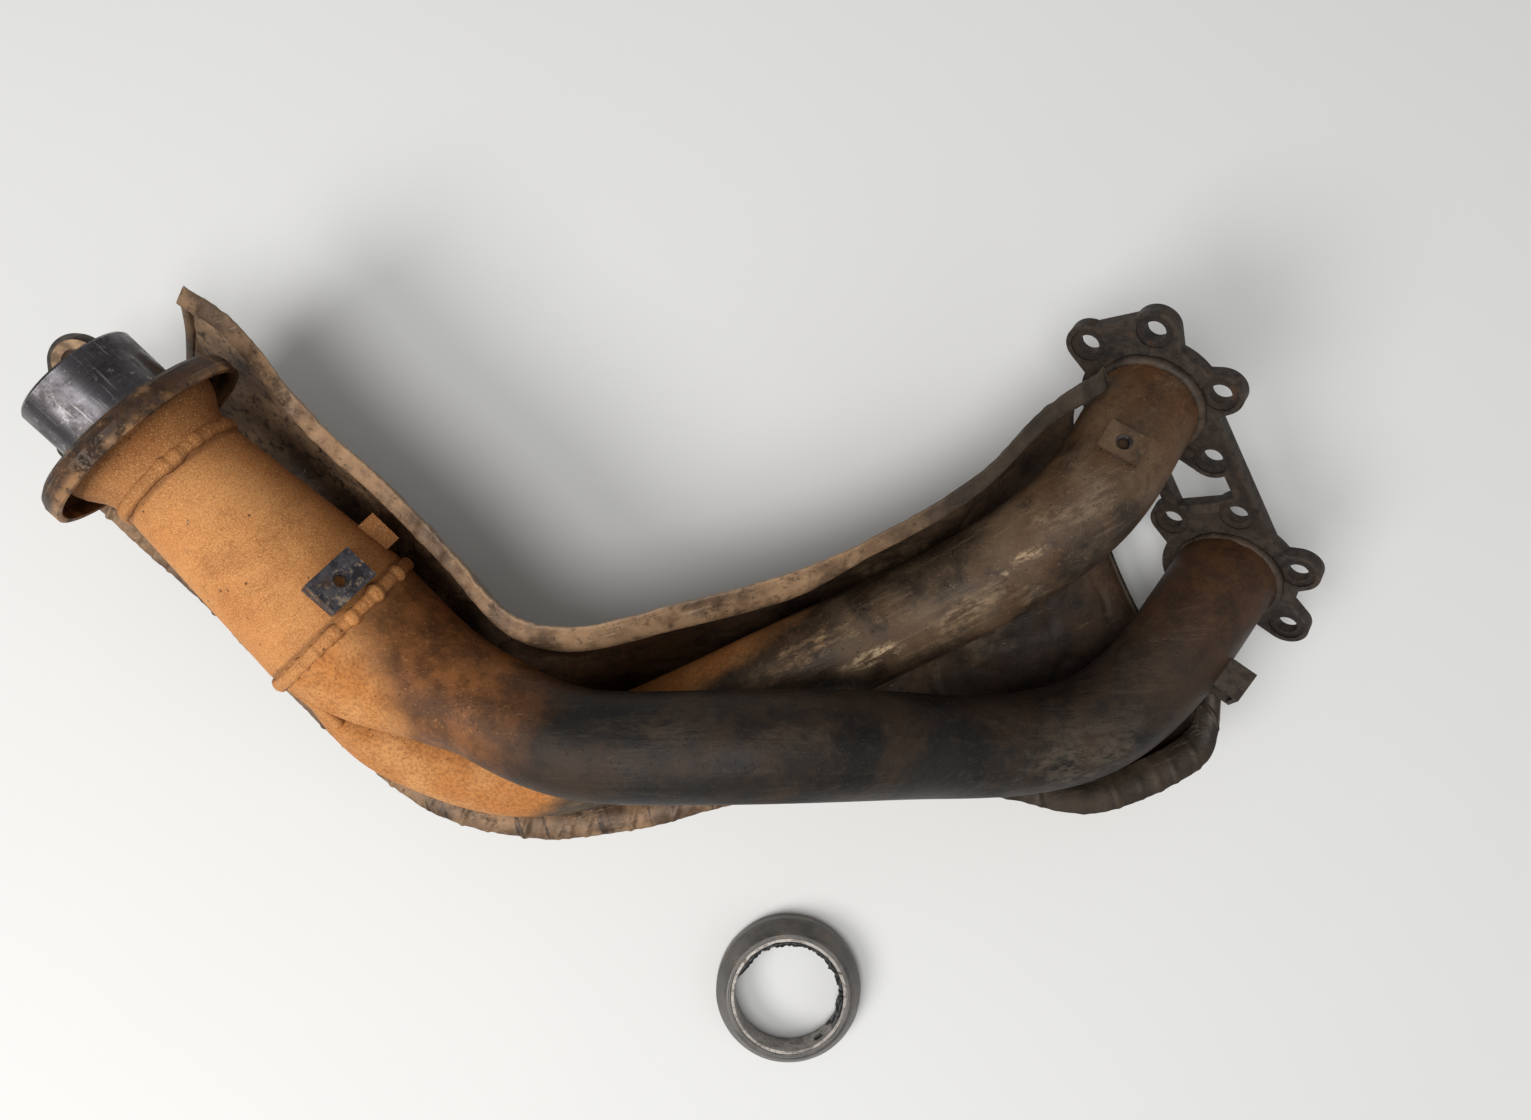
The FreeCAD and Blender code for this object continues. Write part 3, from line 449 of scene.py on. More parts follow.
def graphite():
    """Pressed graphite over wire mesh: satin dark grey with turned lines and worn brown edges."""
    k = Look("seal_graphite")
    d = k.away(SEAL_C)
    cloud = k.rise(k.noise(90.0, 6.0, 0.62), 0.36, 0.66)
    colour = k.mix(cloud, (0.062, 0.059, 0.056), (0.125, 0.118, 0.110))
    turn = k.node("ShaderNodeTexWave", wave_type="RINGS", rings_direction="Z")
    sub = k.node("ShaderNodeVectorMath", operation="SUBTRACT")
    k.put(sub.inputs[0], k.pos)
    sub.inputs[1].default_value = tuple(SEAL_C)
    k.put(turn.inputs["Vector"], sub.outputs[0])
    turn.inputs["Scale"].default_value = 420.0
    turn.inputs["Distortion"].default_value = 1.6
    colour = k.mix(k.mul(turn.outputs["Fac"], 0.22), colour, (0.20, 0.175, 0.15))
    worn = k.mul(k.rise(k.noise(60.0, 5.0, 0.65), 0.52, 0.68), k.rise(d, 0.0255, 0.034))
    colour = k.mix(k.mul(worn, 0.6), colour, (0.19, 0.135, 0.095))
    mesh = k.cells(700.0)
    height = k.plus(k.mul(turn.outputs["Fac"], 0.35), k.mul(mesh, 0.5))
    return k.finish(colour, k.plus(0.36, k.mul(cloud, 0.2)), 0.3, height, 0.3, 0.0005)


def sleeve_steel():
    k = Look("sleeve_steel")
    cloud = k.rise(k.noise(120.0, 6.0, 0.65), 0.36, 0.64)
    colour = k.mix(cloud, (0.18, 0.16, 0.145), (0.40, 0.37, 0.34))
    colour = k.mix(k.mul(speckle(k, 520.0, 0.54, 0.66), 0.8), colour, (0.075, 0.055, 0.042))
    return k.finish(colour, k.plus(0.30, k.mul(cloud, 0.25)), 0.8, k.noise(600.0, 5.0, 0.7), 0.35, 0.0005)


def residue():
    """Black glossy flakes left inside the ring."""
    k = Look("seal_residue")
    cloud = k.rise(k.noise(380.0, 5.0, 0.7), 0.40, 0.62)
    colour = k.mix(cloud, (0.006, 0.006, 0.006), (0.030, 0.029, 0.028))
    rough = k.plus(0.16, k.mul(k.noise(700.0), 0.3))
    return k.finish(colour, rough, 0.2, k.noise(900.0, 5.0, 0.7), 0.6, 0.0006)


def bush_rubber():
    k = Look("bush_rubber")
    cloud = k.rise(k.noise(160.0, 5.0, 0.6), 0.36, 0.66)
    colour = k.mix(cloud, (0.15, 0.092, 0.055), (0.42, 0.27, 0.155))
    return k.finish(colour, 0.85, 0.0, k.noise(600.0, 5.0, 0.7), 0.4, 0.0006)


def fibre_mat():
    k = Look("fibre_mat")
    strands = k.noise(1.0, 6.0, 0.75, vec=k.grain((0.8, 0.5, 0.1), 120.0, 1500.0), twist=1.2)
    colour = k.mix(strands, (0.36, 0.31, 0.24), (0.66, 0.61, 0.52))
    return k.finish(colour, 0.95, 0.0, strands, 0.9, 0.0012)


def bolt_steel():
    k = Look("bolt_steel")
    cloud = k.rise(k.noise(260.0, 6.0, 0.65), 0.36, 0.64)
    colour = k.mix(cloud, (0.13, 0.115, 0.10), (0.30, 0.27, 0.24))
    colour = k.mix(k.mul(k.rise(k.noise(120.0), 0.54, 0.68), 0.7), colour, (0.14, 0.065, 0.028))
    return k.finish(colour, k.plus(0.35, k.mul(cloud, 0.2)), 0.7, k.noise(800.0, 4.0, 0.7), 0.3, 0.0004)


def front_tan(k):
    """Masks of tan dust by the merge and of the rust that follows it, then again at the flange."""
    near = k.away(MERGE, 0.026, 42.0)
    outer_side = k.rise(k.along((-0.62, -0.70, 0.30), MERGE), -0.012, 0.030)
    reach = k.less(near, k.mul(outer_side, 0.044))
    tan = k.mul(k.rise(reach, 0.044, 0.006), k.plus(0.70, k.mul(k.noise(90.0, 5.0, 0.65), 0.5)))
    rust = k.rise(near, 0.118, 0.078)
    end = k.rise(k.away(PORTS[1], 0.050, 40.0), 0.075, 0.010)
    return tan, k.most(rust, k.mul(end, 0.35))


def back_tan(k):
    """Tan dust left of a slanting line, and rust by the flange."""
    slope = k.along((0.62, -0.785, 0.0), place(0, 0, 0))
    ragged = k.mul(k.less(k.noise(70.0, 6.0, 0.7), 0.5), 0.012)
    end = k.rise(k.away(PORTS[0], 0.050, 40.0), 0.070, 0.010)
    return k.mul(k.rise(k.plus(slope, ragged), 0.0300, 0.0200), 0.95), k.mul(end, 0.3)


# streak directions of the two tubes, then their patches: place, radius in metres, colour, strength
FRONT_WAY, BACK_WAY = (1, 0.05, 0.1), (0.88, 0.46, 0.12)
FRONT_PATCHES = (
    (place(133, -85, 76), 0.014, (0.085, 0.066, 0.048), 0.75),
    (place(140, -72, 80), 0.012, (0.060, 0.045, 0.031), 0.6),
    (place(150, -50, 80), 0.016, (0.050, 0.030, 0.017), 0.7),
    (place(-40, -62, 130), 0.011, (0.055, 0.040, 0.027), 0.6),
    (place(20, -66, 130), 0.008, (0.060, 0.046, 0.032), 0.5),
    (place(-108, -45, 120), 0.014, (0.012, 0.006, 0.003), 0.8),
)
BACK_PATCHES = (
    (place(107, 2, 95), 0.0034, CREAM, 1.0),
    (place(98, -5, 96), 0.0022, CREAM, 0.9),
    (place(60, -32, 92), 0.0042, CREAM, 0.85),
    (place(42, -41, 84), 0.0044, CREAM, 0.9),
    (place(14, -38, 86), 0.0100, (0.50, 0.31, 0.16), 0.9),
    (place(48, -40, 86), 0.0050, CREAM, 0.9),
    (place(30, -22, 96), 0.0120, (0.38, 0.25, 0.13), 0.9),
    (place(66, -14, 100), 0.0120, (0.27, 0.18, 0.10), 0.9),
    (place(86, -20, 92), 0.0080, (0.24, 0.165, 0.095), 0.8),
    (place(100, 14, 100), 0.0080, (0.22, 0.15, 0.09), 0.8),
    (place(128, 22, 100), 0.0080, (0.17, 0.115, 0.07), 0.7),
    (place(118, -14, 92), 0.0060, (0.20, 0.14, 0.085), 0.7),
)
LOOKS = {
    "front_runner": dusty_tube("front_tube", front_tan, FRONT_WAY, FRONT_PATCHES, (GREY, SOOT), 0.34, 0.14,
                               (0.078, 0.058, 0.040)),
    "back_runner": dusty_tube("back_tube", back_tan, BACK_WAY, BACK_PATCHES,
                              ((0.120, 0.078, 0.045), (0.024, 0.015, 0.009)), 0.60, 0.55,
                              (0.23, 0.165, 0.105)),
    "cone": baked_dust_and_shade("cone_dust_and_shade", 0.0),
    "neck": baked_dust_and_shade("neck_dust_and_shade", 0.08),
    "flange": rusty_plate("flange_rust", (0.0052, 0.0033, 0.0021), (0.0240, 0.0130, 0.0068),
                          (0.085, 0.062, 0.044)),
    "bead": rusty_plate("bead_rust", (0.020, 0.013, 0.009), (0.075, 0.048, 0.030), (0.15, 0.11, 0.08)),
    "spigot": turned_steel(),
    "cup": cup_steel(),
    "bracket": bracket_steel(),
    "shield_in": foil("foil_inner", True),
    "shield_out": foil("foil_outer", False),
    "hem": hem_steel(),
    "graphite": graphite(),
    "sleeve": sleeve_steel(),
    "residue": residue(),
    "bush": bush_rubber(),
    "fibre": fibre_mat(),
    "bolt": bolt_steel(),
    "tab": rusty_plate("tab_rust", (0.012, 0.008, 0.006), (0.040, 0.025, 0.016), (0.10, 0.07, 0.05)),
}
NODE_LOOK = {
    "front_runner": "front_runner", "back_runner": "back_runner", "head_flange": "flange",
    "collector_cone": "cone", "outlet_neck": "neck", "spigot": "spigot", "spigot_weld": "bead",
    "swivel_cup": "cup", "seal_core": "sleeve", "seal_ring": "graphite", "cone_bracket": "bracket",
    "cone_side_bracket": "neck", "back_runner_bracket": "back_runner", "front_runner_bracket": "flange",
    "bracket_weld_nuts": "bracket", "rear_brackets": "bracket", "rear_weld_nuts": "bracket",
    "shield_bolts": "bolt", "shield_washers": "bolt", "shield_blanket": "fibre", "shield_liner": "shield_in",
    "shield_skin": "shield_out", "shield_hem": "hem", "support_tab": "tab", "tab_bush": "bush",
    "merge_weld": "cone", "outlet_weld": "neck", "front_port_weld": "bead", "back_port_weld": "bead",
    "runner_seam_weld": "cone",
}
for name, obj in nodes.items():
    obj.data.materials.clear()
    obj.data.materials.append(LOOKS[NODE_LOOK[name]])
    obj.data.shade_smooth()
    obj.data.set_sharp_from_angle(angle=math.radians(34))


# ------------------------------------------------------------ mesh pieces
def new_piece(name, verts, faces, look, body, smooth=True):
    """Mesh object with one look, riding a body of the frame."""
    mesh = bpy.data.meshes.new(name)
    mesh.from_pydata([tuple(v) for v in verts], [], faces)
    mesh.update()
    obj = bpy.data.objects.new(name, mesh)
    bpy.context.collection.objects.link(obj)
    mesh.materials.append(LOOKS[look])
    if smooth:
        mesh.shade_smooth()
    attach(obj, body)
    return obj


def grid_faces(rows, cols, wrap_rows=False, wrap_cols=False, base=0):
    """Quads between the points of a grid, row by row; base is the number of its first point."""
    faces = []
    for i in range(rows if wrap_rows else rows - 1):
        for j in range(cols if wrap_cols else cols - 1):
            a, b = i * cols + j, i * cols + (j + 1) % cols
            c, d = ((i + 1) % rows) * cols + (j + 1) % cols, ((i + 1) % rows) * cols + j
            faces.append((base + a, base + b, base + c, base + d))
    return faces


def shell_faces(rows, cols):
    """Faces of a closed shell: a near grid, a far grid and the strip round their rim."""
    size = rows * cols
    faces = grid_faces(rows, cols) + [f[::-1] for f in grid_faces(rows, cols, base=size)]
    rim = [i * cols for i in range(rows)] + [(rows - 1) * cols + j for j in range(1, cols)]
    rim += [i * cols + cols - 1 for i in range(rows - 2, -1, -1)] + [j for j in range(cols - 2, 0, -1)]
    return faces + [(a, b, b + size, a + size) for a, b in zip(rim, rim[1:] + rim[:1])]


def tube_faces(count, around):
    """Faces of a closed strip: count loops of around points, both ends capped."""
    caps = [tuple(range(around))[::-1], tuple((count - 1) * around + j for j in range(around))]
    return grid_faces(count, around, False, True) + caps


def face_outward(obj):
    bm = bmesh.new()
    bm.from_mesh(obj.data)
    bmesh.ops.recalc_face_normals(bm, faces=bm.faces)
    bm.to_mesh(obj.data)
    bm.free()


def frame_about(axis):
    """Two directions square to an axis and to each other."""
    side = axis.cross(Vector((0.31, 0.27, 0.91))).normalized()
    return side, axis.cross(side)


def ring_bead(name, centre, axis, radius, half_width, height, node, look, slot, lumps=0.15):
    """Rippled weld bead round a pipe: overlapping crescents, uneven in width and height."""
    side, up = frame_about(axis)
    around, across = 420, 15
    count = round(2 * math.pi * radius / (2.6 * MM))        # crescents, one every 2.6 mm
    toe, back = 0.25 * MM, 1.2 * MM                         # depths of its toes and back in the pipe
    verts = []
    for i in range(around):
        a = 2 * math.pi * i / around
        out = side * math.cos(a) + up * math.sin(a)
        n = noise.noise(Vector((math.cos(a), math.sin(a), radius * 90)) * 3.1)
        lump = max(0.0, noise.noise(out * (radius * 210) + Vector((3.0, 1.0, 7.0)))) * lumps * 3.0
        fat = 1.0 + 0.13 * n + 0.5 * lump
        slip = half_width * 0.28 * noise.noise(out * 4.0 + Vector((0.0, 5.0, 2.0)))
        for j in range(across):
            t = 2.0 * j / (across - 1) - 1.0
            phase = (a * count / (2 * math.pi) + 0.45 * t * t) % 1.0
            scale = 0.90 + 0.10 * math.sin(math.pi * phase) ** 0.6
            lift = height * scale * (1 + 0.12 * n + lump) * math.sqrt(max(0.0, 1 - t * t))
            verts.append(centre + axis * (half_width * fat * t + slip) + out * (radius - toe + lift))
        verts.append(centre + axis * (half_width * 0.6) + out * (radius - back))
        verts.append(centre - axis * (half_width * 0.6) + out * (radius - back))
    obj = new_piece(name, verts, grid_faces(around, across + 2, True, True), look, "header")
    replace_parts(obj, node)


CONE_BEAD = (2.9 * MM, 1.9 * MM)                            # half width and height
PORT_BEAD = (2.5 * MM, 2.2 * MM)
ring_bead("merge_bead", MERGE, OUT, 35.5 * MM, *CONE_BEAD, "merge_weld", "cone", "cone_weld", lumps=0.55)
ring_bead("outlet_bead", MERGE + OUT * 90 * MM, OUT, 27.5 * MM, *CONE_BEAD, "outlet_weld", "neck",
          "cone_weld", lumps=0.25)
for port, node in zip(PORTS, ("back_port_weld", "front_port_weld")):
    ring_bead(node.replace("weld", "bead"), port + FACE_N * 4.6 * MM, FACE_N, 22.3 * MM, *PORT_BEAD,
              node, "bead", "weld_bead")

# ------------------------------------------------------------ heat shield
# stations of the pan, in mm of the CAD working frame: outer edge of the upper hem, outer edge of
# the lower hem, depth of the belly, shift of the belly in X and Y
PAN_EDGES = (
    ((-239.0, 113.5, 86.0), (-298.0, 25.5, 51.0), 50.0, (-6.0, -6.0)),
    ((-217.0, 98.0, 88.0), (-276.5, 5.5, 51.0), 48.0, (-4.0, -4.0)),
    ((-185.0, 60.5, 90.0), (-248.0, -19.5, 51.0), 50.0, (0.0, 0.0)),
    ((-155.5, 33.5, 92.0), (-215.7, -56.5, 46.0), 49.0, (0.0, 0.0)),
    ((-128.0, 6.0, 94.0), (-181.8, -89.4, 44.0), 51.0, (0.0, 0.0)),
    ((-103.5, -20.5, 95.0), (-145.9, -114.6, 44.0), 55.0, (0.0, 0.0)),
    ((-75.0, -26.0, 95.0), (-100.4, -124.6, 44.5), 56.0, (0.0, 0.0)),
    ((-34.5, -16.5, 94.0), (-55.9, -119.8, 46.0), 57.0, (0.0, 0.0)),
    ((14.0, -3.0, 92.0), (-2.0, -106.0, 49.0), 56.0, (0.0, 0.0)),
    ((55.0, 16.0, 90.0), (50.5, -101.0, 47.0), 52.0, (0.0, 0.0)),
    ((87.5, 36.5, 91.0), (103.0, -106.0, 46.0), 50.0, (0.0, 0.0)),
    ((112.5, 62.0, 92.0), (148.0, -113.5, 44.5), 46.0, (-3.0, 3.0)),
    ((133.0, 75.5, 92.0), (196.0, -92.5, 44.0), 43.0, (-10.0, 4.0)),
    ((137.0, 79.0, 91.0), (204.5, -62.0, 44.0), 40.0, (-14.0, 6.0)),
)
HEM_TOP, HEM_LOW, HEM_LAP = 9.0, 5.8, 0.8                   # widths of the hems and their lap on the wall
SQUARE, MOUTH_SLOPE = 0.72, 0.9                             # squareness of the section, flatter at the outlet
PAN_THICK, SHEET = 4.3, 0.7                                 # whole wall and one metal sheet
MAT_GAP = SHEET + 0.05                                      # from a face of the wall to the fibre mat


def unit(v):
    return v / np.maximum(np.linalg.norm(v, axis=-1, keepdims=True), 1e-12)


def smooth01(x):
    x = np.clip(x, 0.0, 1.0)
    return x * x * (3.0 - 2.0 * x)


def pan_stations(count):
    """Smoothly interpolated stations: top lip, bottom lip, belly vector, squareness."""
    rows = []
    for i, (top, bot, deep, shift) in enumerate(PAN_EDGES):
        top, bot = np.array(top), np.array(bot)
        across = unit(top - bot)
        square = SQUARE + MOUTH_SLOPE * float(smooth01(1.0 - i / 2.5))
        rows.append(np.concatenate([top - across * (HEM_TOP - HEM_LAP), bot + across * (HEM_LOW - HEM_LAP),
                                    [shift[0], shift[1], -deep, square]]))
    rows = np.array(rows)
    ahead = np.vstack([2 * rows[0] - rows[1], rows, 2 * rows[-1] - rows[-2]])
    out = []
    for u in np.linspace(0.0, len(rows) - 1.0, count):
        i = min(int(u), len(rows) - 2)
        t = u - i
        p0, p1, p2, p3 = ahead[i:i + 4]
        out.append(0.5 * (2 * p1 + (p2 - p0) * t + (2 * p0 - 5 * p1 + 4 * p2 - p3) * t ** 2
                          + (3 * p1 - p0 - 3 * p2 + p3) * t ** 3))
    return np.array(out)


def pan_grid(rows, cols):
    """Points of the pan's inner face, from lip to lip at each station, and their outward normals."""
    st = pan_stations(rows)
    phi = np.linspace(0.0, math.pi, cols)
    top, bot, belly, square = st[:, None, 0:3], st[:, None, 3:6], st[:, None, 6:9], st[:, None, 9:10]
    c, s = np.cos(phi)[None, :, None], np.maximum(np.sin(phi), 0.0)[None, :, None]
    g = (1.0 - np.sign(c) * np.abs(c) ** square) / 2.0
    pts = top + (bot - top) * g + belly * s ** square
    d_row, d_col = np.gradient(pts, axis=0), np.gradient(pts, axis=1)
    normal = unit(np.cross(d_row, d_col))
    if normal[rows // 2, cols // 2, 2] > 0:
        normal = -normal
    return pts, normal


ROWS, COLS = 300, 150                                       # along the pan and from lip to lip
pan_pts, pan_out = pan_grid(ROWS, COLS)


def dent(p):
    """How far the skin is pushed outward at a point, in mm: soft dents, sharp creases, fine ripple."""
    q = Vector(p) * 0.016
    soft = noise.noise(q * 1.6) * 0.9
    crease = 1.0 - abs(noise.noise(q * 2.6 + Vector((7.3, 1.1, 4.2)))) * 7.0
    sharp = max(0.0, crease) ** 1.5
    fine = noise.noise(q * 14.0) * 0.16
    return 0.7 + soft * 0.7 + sharp * 0.9 + fine


push = np.array([[dent(p) for p in row] for row in pan_pts])
edge = np.minimum(np.arange(COLS), np.arange(COLS)[::-1]) / (COLS - 1.0)
push = push * smooth01(edge / 0.05)[None, :]
inner = pan_pts + pan_out * np.maximum(push, 0.0)[..., None]
outer = pan_pts + pan_out * (PAN_THICK + np.clip(push - 1.6, -1.2, 0.0)[..., None])


def pan_shell(name, near, far, look):
    """Closed thin shell between two offsets of the pan."""
    verts = [Vector(p) * MM + SHIFT for p in near.reshape(-1, 3)]
    verts += [Vector(p) * MM + SHIFT for p in far.reshape(-1, 3)]
    obj = new_piece(name, verts, shell_faces(*near.shape[:2]), look, "header")
    obj.data.set_sharp_from_angle(angle=math.radians(50))
    face_outward(obj)
    return obj


HOLE_WAY = Vector(CONE_SIDE).normalized()
HOLE_AT = MERGE + OUT * 17.5 * MM + HOLE_WAY * 41 * MM
HOLE_RADIUS, DRILL_LENGTH = 3.6 * MM, 44 * MM


def drill(obj):
    """Cut the small round hole through the wall beside the cone."""
    bm = bmesh.new()
    turn = HOLE_WAY.to_track_quat("Z", "Y").to_matrix().to_4x4()
    bmesh.ops.create_cone(bm, cap_ends=True, segments=36, radius1=HOLE_RADIUS, radius2=HOLE_RADIUS,
                          depth=DRILL_LENGTH, matrix=Matrix.Translation(HOLE_AT) @ turn)
    mesh = bpy.data.meshes.new("cutter")
    bm.to_mesh(mesh)
    bm.free()
    cutter = bpy.data.objects.new("cutter", mesh)
    bpy.context.collection.objects.link(cutter)
    cut = obj.modifiers.new("hole", "BOOLEAN")
    cut.operation, cut.object, cut.solver = "DIFFERENCE", cutter, "FAST"
    done = bpy.data.meshes.new_from_object(obj.evaluated_get(bpy.context.evaluated_depsgraph_get()))
    obj.modifiers.clear()
    obj.data = done
    bpy.data.objects.remove(cutter)
    bpy.data.meshes.remove(mesh)


liner = pan_shell("shield_liner_foil", inner, inner + pan_out * SHEET, "shield_in")
skin = pan_shell("shield_outer_foil", outer - pan_out * SHEET, outer, "shield_out")
mat_near, mat_far, mat_out = (grid[4:-4:2, 2:-2:2] for grid in (inner, outer, pan_out))
fibre = pan_shell("shield_fibre_mat", mat_near + mat_out * MAT_GAP, mat_far - mat_out * MAT_GAP,
                  "fibre")
for layer in (liner, skin, fibre):
    drill(layer)
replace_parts(liner, "shield_liner")
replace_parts(skin, "shield_skin")
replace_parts(fibre, "shield_blanket")


def upper_lap(x):
    """How much further the upper hem reaches into the pan, in mm: only round the valley of its lip."""
    return 6.5 * float(smooth01((x + 118.0) / 46.0) * smooth01((44.0 - x) / 36.0))


def lower_lap(_x):
    """The lower hem laps into the pan by the same amount all along."""
    return 9.0


def hem_strip(name, end, hem_width, lap):
    """Folded strip along one lip: flat flange with a rolled rim, wavy and pleated at the bends."""
    count, around = 620, 20
    st = pan_stations(count)
    top, bot, belly = st[:, 0:3], st[:, 3:6], st[:, 6:9]
    lip, far = (top, bot) if end == 0 else (bot, top)
    out = unit(lip - far)
    up = -belly
    up = unit(up - out * np.sum(up * out, axis=1, keepdims=True))
    run = np.concatenate([[0.0], np.cumsum(np.linalg.norm(np.diff(lip, axis=0), axis=1))])
    outer_edge = hem_width - HEM_LAP
    pleat_pace, pleat_size = 0.13 + 0.12 * end, 2.0 + 2.4 * end      # the lower hem is pleated more
    verts = []
    for i in range(count):
        s, width = run[i], hem_width + lap(lip[i, 0])
        half, middle = width / 2, outer_edge - width / 2
        wave = noise.noise(Vector((s * 0.035, end * 9.0, 0.3))) * 0.80
        wave += noise.noise(Vector((s * 0.15, 3.0, end))) * 0.40
        pleat = max(0.0, noise.noise(Vector((s * pleat_pace, 5.0 + end, 2.0))) - 0.08) * pleat_size
        shy = noise.noise(Vector((s * 0.06, 8.0, end))) * 0.5
        shy += noise.noise(Vector((s * 0.24, 6.0, end))) * 0.45 - 0.45
        lift = 0.95 + wave * 0.35
        for j in range(around):
            a = 2 * math.pi * j / around
            c, d = math.cos(a), math.sin(a)
            x = half * math.copysign(abs(c) ** 0.6, c)
            thick = 0.62 + 0.42 * float(smooth01((x / half - 0.45) / 0.45))
            z = thick * math.copysign(abs(d) ** 0.8, d)
            z += 0.32 * float(smooth01((x / half + 0.2) / 1.2)) * wave
            z += pleat * 0.55 * (1 if d > 0 else 0.3)
            z -= 0.085 * max(0.0, -(middle + x)) ** 2       # droops where it laps the wall
            p = lip[i] + out[i] * (middle + x + shy * (x > 0)) + up[i] * (lift + z)
            verts.append(Vector(p) * MM + SHIFT)
    return new_piece(name, verts, tube_faces(count, around), "hem", "header")


upper_hem = hem_strip("upper_hem", 0, HEM_TOP, upper_lap)
hem_strip("lower_hem", 1, HEM_LOW, lower_lap)
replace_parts(upper_hem, "shield_hem")


def end_fold(name, row, sign):
    """Thin folded binding round the open end of the pan, from lip to lip."""
    pts, out = pan_pts[row], pan_out[row]
    ahead = unit(pan_pts[row] - pan_pts[row - sign * 4])
    around = 12
    lap, set_back = 2.6, 1.9                                # along the pan, in mm
    verts = []
    for j in range(COLS):
        centre = pts[j] + out[j] * (PAN_THICK / 2)
        wobble = noise.noise(Vector(pts[j]) * 0.05)
        for q in range(around):
            a = 2 * math.pi * q / around
            c, d = math.cos(a), math.sin(a)
            p = centre + out[j] * (PAN_THICK / 2 * 0.98 * math.copysign(abs(c) ** 0.55, c))
            p = p + ahead[j] * (lap * math.copysign(abs(d) ** 0.7, d) - set_back + 0.5 * wobble)
            verts.append(Vector(p) * MM + SHIFT)
    new_piece(name, verts, tube_faces(COLS, around), "hem", "header")


end_fold("outlet_end_fold", 0, -1)
end_fold("flange_end_fold", ROWS - 1, 1)

# ------------------------------------------------------------ seal ring
# mm: radius of the sleeve's bore, of the graphite's bore, of its outside, and its length
SLEEVE_BORE, RING_BORE, RING_OUT, RING_LEN = 26.0, 27.45, 35.0, 16.0


def graphite_ring(profile, rough, seed):
    """Turned ring from a closed profile of (height, radius) in mm, its surface slightly chipped."""
    around = 300
    verts = []
    for i in range(around):
        a = 2 * math.pi * i / around
        for h, r in profile:
            n = noise.noise(Vector((math.cos(a) * r, math.sin(a) * r, h + seed)) * 0.11)
            chip = noise.noise(Vector((math.cos(a) * r, math.sin(a) * r, h - seed)) * 0.33)
            chip = max(0.0, chip - 0.42) * 2.2
            k = r + rough * (0.5 * n - chip - 0.35)
            verts.append(SEAL_C + Vector((math.cos(a) * k, math.sin(a) * k, h)) * MM)
    faces = grid_faces(around, len(profile), True, True)
    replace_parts(new_piece("graphite_ring", verts, faces, "graphite", "seal"), "seal_ring")


def rounded(points):
    """Closed profile with its corners rounded and its long sides divided."""
    steps, parts, pull, reach = 5, 8, 0.22, 0.8             # reach: the longest a rounding runs, in mm
    out = []
    n = len(points)
    for i in range(n):
        p0, p1, p2 = (np.array(points[(i + d) % n], float) for d in (-1, 0, 1))
        a = p1 + (p0 - p1) * min(pull, reach / max(np.linalg.norm(p0 - p1), 1e-6))
        b = p1 + (p2 - p1) * min(pull, reach / max(np.linalg.norm(p2 - p1), 1e-6))
        for q in range(steps):
            t = q / (steps - 1)
            out.append((1 - t) ** 2 * a + 2 * t * (1 - t) * p1 + t * t * b)
        c = p2 + (p1 - p2) * min(pull, reach / max(np.linalg.norm(p1 - p2), 1e-6))
        for q in range(1, parts):
            out.append(b + (c - b) * q / parts)
    return [tuple(p) for p in out]


GRAPHITE_PROFILE = (
    (0.05, RING_BORE), (0.05, RING_OUT - 1.0), (1.0, RING_OUT - 0.05), (7.5, RING_OUT - 0.05),
    (RING_LEN - 1.0, RING_OUT - 4.4), (RING_LEN - 0.05, RING_OUT - 5.6), (RING_LEN - 0.05, RING_BORE),
)
graphite_ring(rounded(GRAPHITE_PROFILE), 0.35, 3.0)


def residue_flakes():
    """Burnt flakes stuck to the upper inside of the ring, thickest on one side."""
    count, rings, segs = 46, 5, 9
    rng = np.random.default_rng(11)
    up = np.array([0.0, 0.0, 1.0])
    verts, faces = [], []
    for _ in range(count):
        a = math.radians(rng.normal(38, 34))
        h = rng.uniform(1.0, 14.0)
        size = rng.uniform(1.0, 2.6)
        stuck_at = SLEEVE_BORE - 0.4
        centre = np.array([math.cos(a) * stuck_at, math.sin(a) * stuck_at, h])
        out = np.array([math.cos(a), math.sin(a), 0.0])
        side = np.array([-math.sin(a), math.cos(a), 0.0])
        base = len(verts)
        for i in range(rings):
            t = math.pi * i / (rings - 1)
            for j in range(segs):
                b = 2 * math.pi * j / segs
                wobble = 0.7 + 0.6 * rng.random()
                p = centre + side * math.cos(b) * math.sin(t) * size * 1.3 * wobble \
                    + up * math.sin(b) * math.sin(t) * size * 0.8 * wobble + out * math.cos(t) * 0.55
                p[2] = min(max(p[2], 0.3), RING_LEN - 0.3)
                verts.append(SEAL_C + Vector(p) * MM)
        faces += grid_faces(rings, segs, False, True, base)
    new_piece("seal_residue", verts, faces, "residue", "seal", smooth=False)


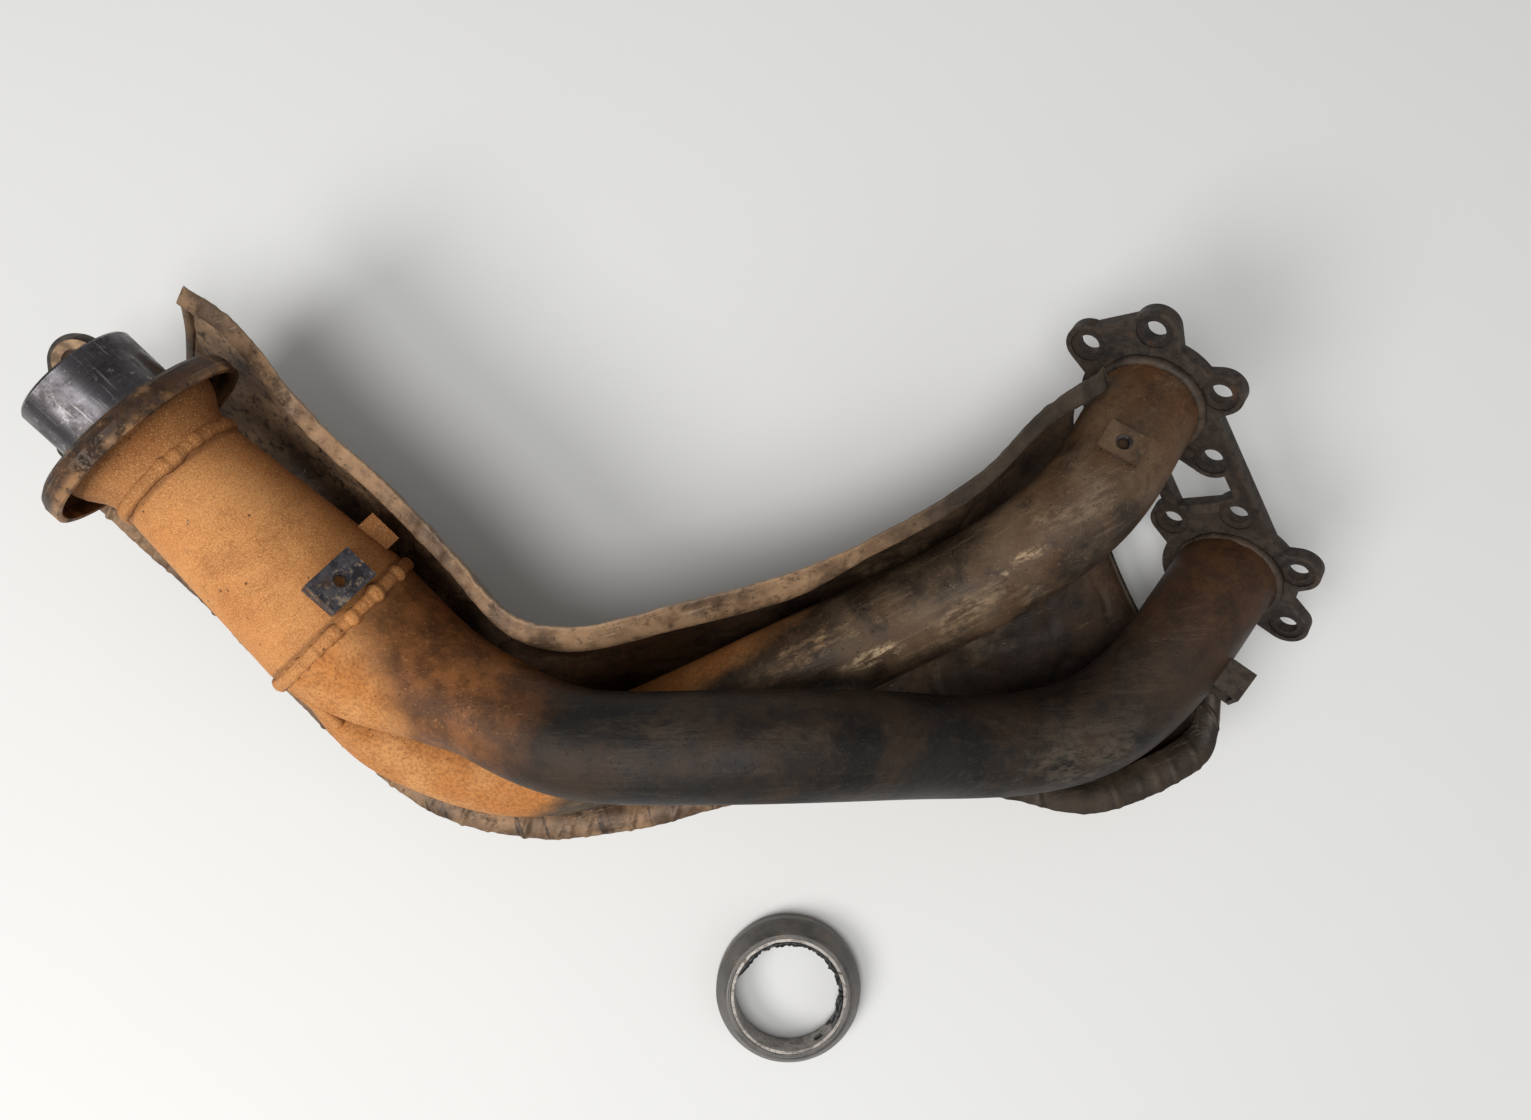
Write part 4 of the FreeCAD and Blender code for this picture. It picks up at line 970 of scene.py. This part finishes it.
def residue_crust():
    """Ragged glossy crust baked on the inner wall, over its upper and right-hand side."""
    rows, cols, start, sweep = 16, 220, -38, 208            # start and sweep in degrees
    thickest = 3.9
    near, far = [], []
    for i in range(rows):
        for j in range(cols):
            share = j / (cols - 1)
            a = math.radians(start + sweep * share)
            ends = float(smooth01(share / 0.12) * smooth01((1 - share) / 0.15))
            n = noise.noise(Vector((a * 4.2, i * 0.42, 1.7)))
            n += 0.5 * noise.noise(Vector((a * 13.0, i * 0.9, 5.1)))
            thick = max(0.15, (1.7 + 2.4 * n) * ends) * (0.45 + 0.55 * i / (rows - 1))
            h = 0.6 + (RING_LEN - 1.2) * i / (rows - 1) + 0.5 * noise.noise(Vector((a * 7.0, 0.0, i * 0.5)))
            h = min(max(h, 0.2), RING_LEN - 0.2)
            for r, shell in ((SLEEVE_BORE + 0.15, far), (SLEEVE_BORE - min(thick, thickest), near)):
                shell.append(SEAL_C + Vector((math.cos(a) * r, math.sin(a) * r, h)) * MM)
    crust = new_piece("seal_crust", near + far, shell_faces(rows, cols), "residue", "seal")
    face_outward(crust)


residue_flakes()
residue_crust()


# ------------------------------------------------------------ floor, light and camera
def pale_floor():
    mesh = bpy.data.meshes.new("studio_floor")
    r, z = 40.0, cad_box[0].z - 0.5 * MM
    mesh.from_pydata([(-r, -r, z), (r, -r, z), (r, r, z), (-r, r, z)], [], [(0, 1, 2, 3)])
    obj = bpy.data.objects.new("studio_floor", mesh)
    bpy.context.collection.objects.link(obj)
    k = Look("pale_floor")
    k.finish(k.mix(k.noise(3.0), (0.70, 0.70, 0.69), (0.74, 0.74, 0.73)), 0.7)
    mesh.materials.append(k.mat)


pale_floor()


def soft_light(name, place_at, aim, size, power, colour=(1, 1, 1)):
    data = bpy.data.lights.new(name, "AREA")
    data.shape, data.size, data.energy, data.color = "DISK", size, power, colour
    obj = bpy.data.objects.new(name, data)
    bpy.context.collection.objects.link(obj)
    obj.location = place_at
    obj.rotation_euler = (Vector(aim) - Vector(place_at)).to_track_quat("-Z", "Y").to_euler()


MIDDLE = (0, 0, 0.05)
soft_light("key", (-1.0, -0.75, 1.35), MIDDLE, 0.9, 20, (1.0, 0.985, 0.96))
soft_light("top", (-0.25, -0.30, 1.9), MIDDLE, 0.9, 15)
soft_light("fill", (1.2, -0.5, 1.0), MIDDLE, 1.2, 2.5)
world = bpy.data.worlds.new("studio")
world.use_nodes = True
background = world.node_tree.nodes["Background"]
background.inputs["Color"].default_value = (1.0, 1.0, 1.0, 1.0)
background.inputs["Strength"].default_value = 0.30
bpy.context.scene.world = world
bpy.context.scene.view_settings.view_transform = "Standard"

camera_data = bpy.data.cameras.new("camera")
camera_data.sensor_width = 36.0
camera_data.lens = 36.0 * FOCAL_PX / WIDTH_PX
camera = bpy.data.objects.new("camera", camera_data)
bpy.context.collection.objects.link(camera)
camera.location = SHIFT + Vector((0.0, 0.0, EYE_HEIGHT))
camera.rotation_euler = (0.0, 0.0, 0.0)
bpy.context.scene.camera = camera
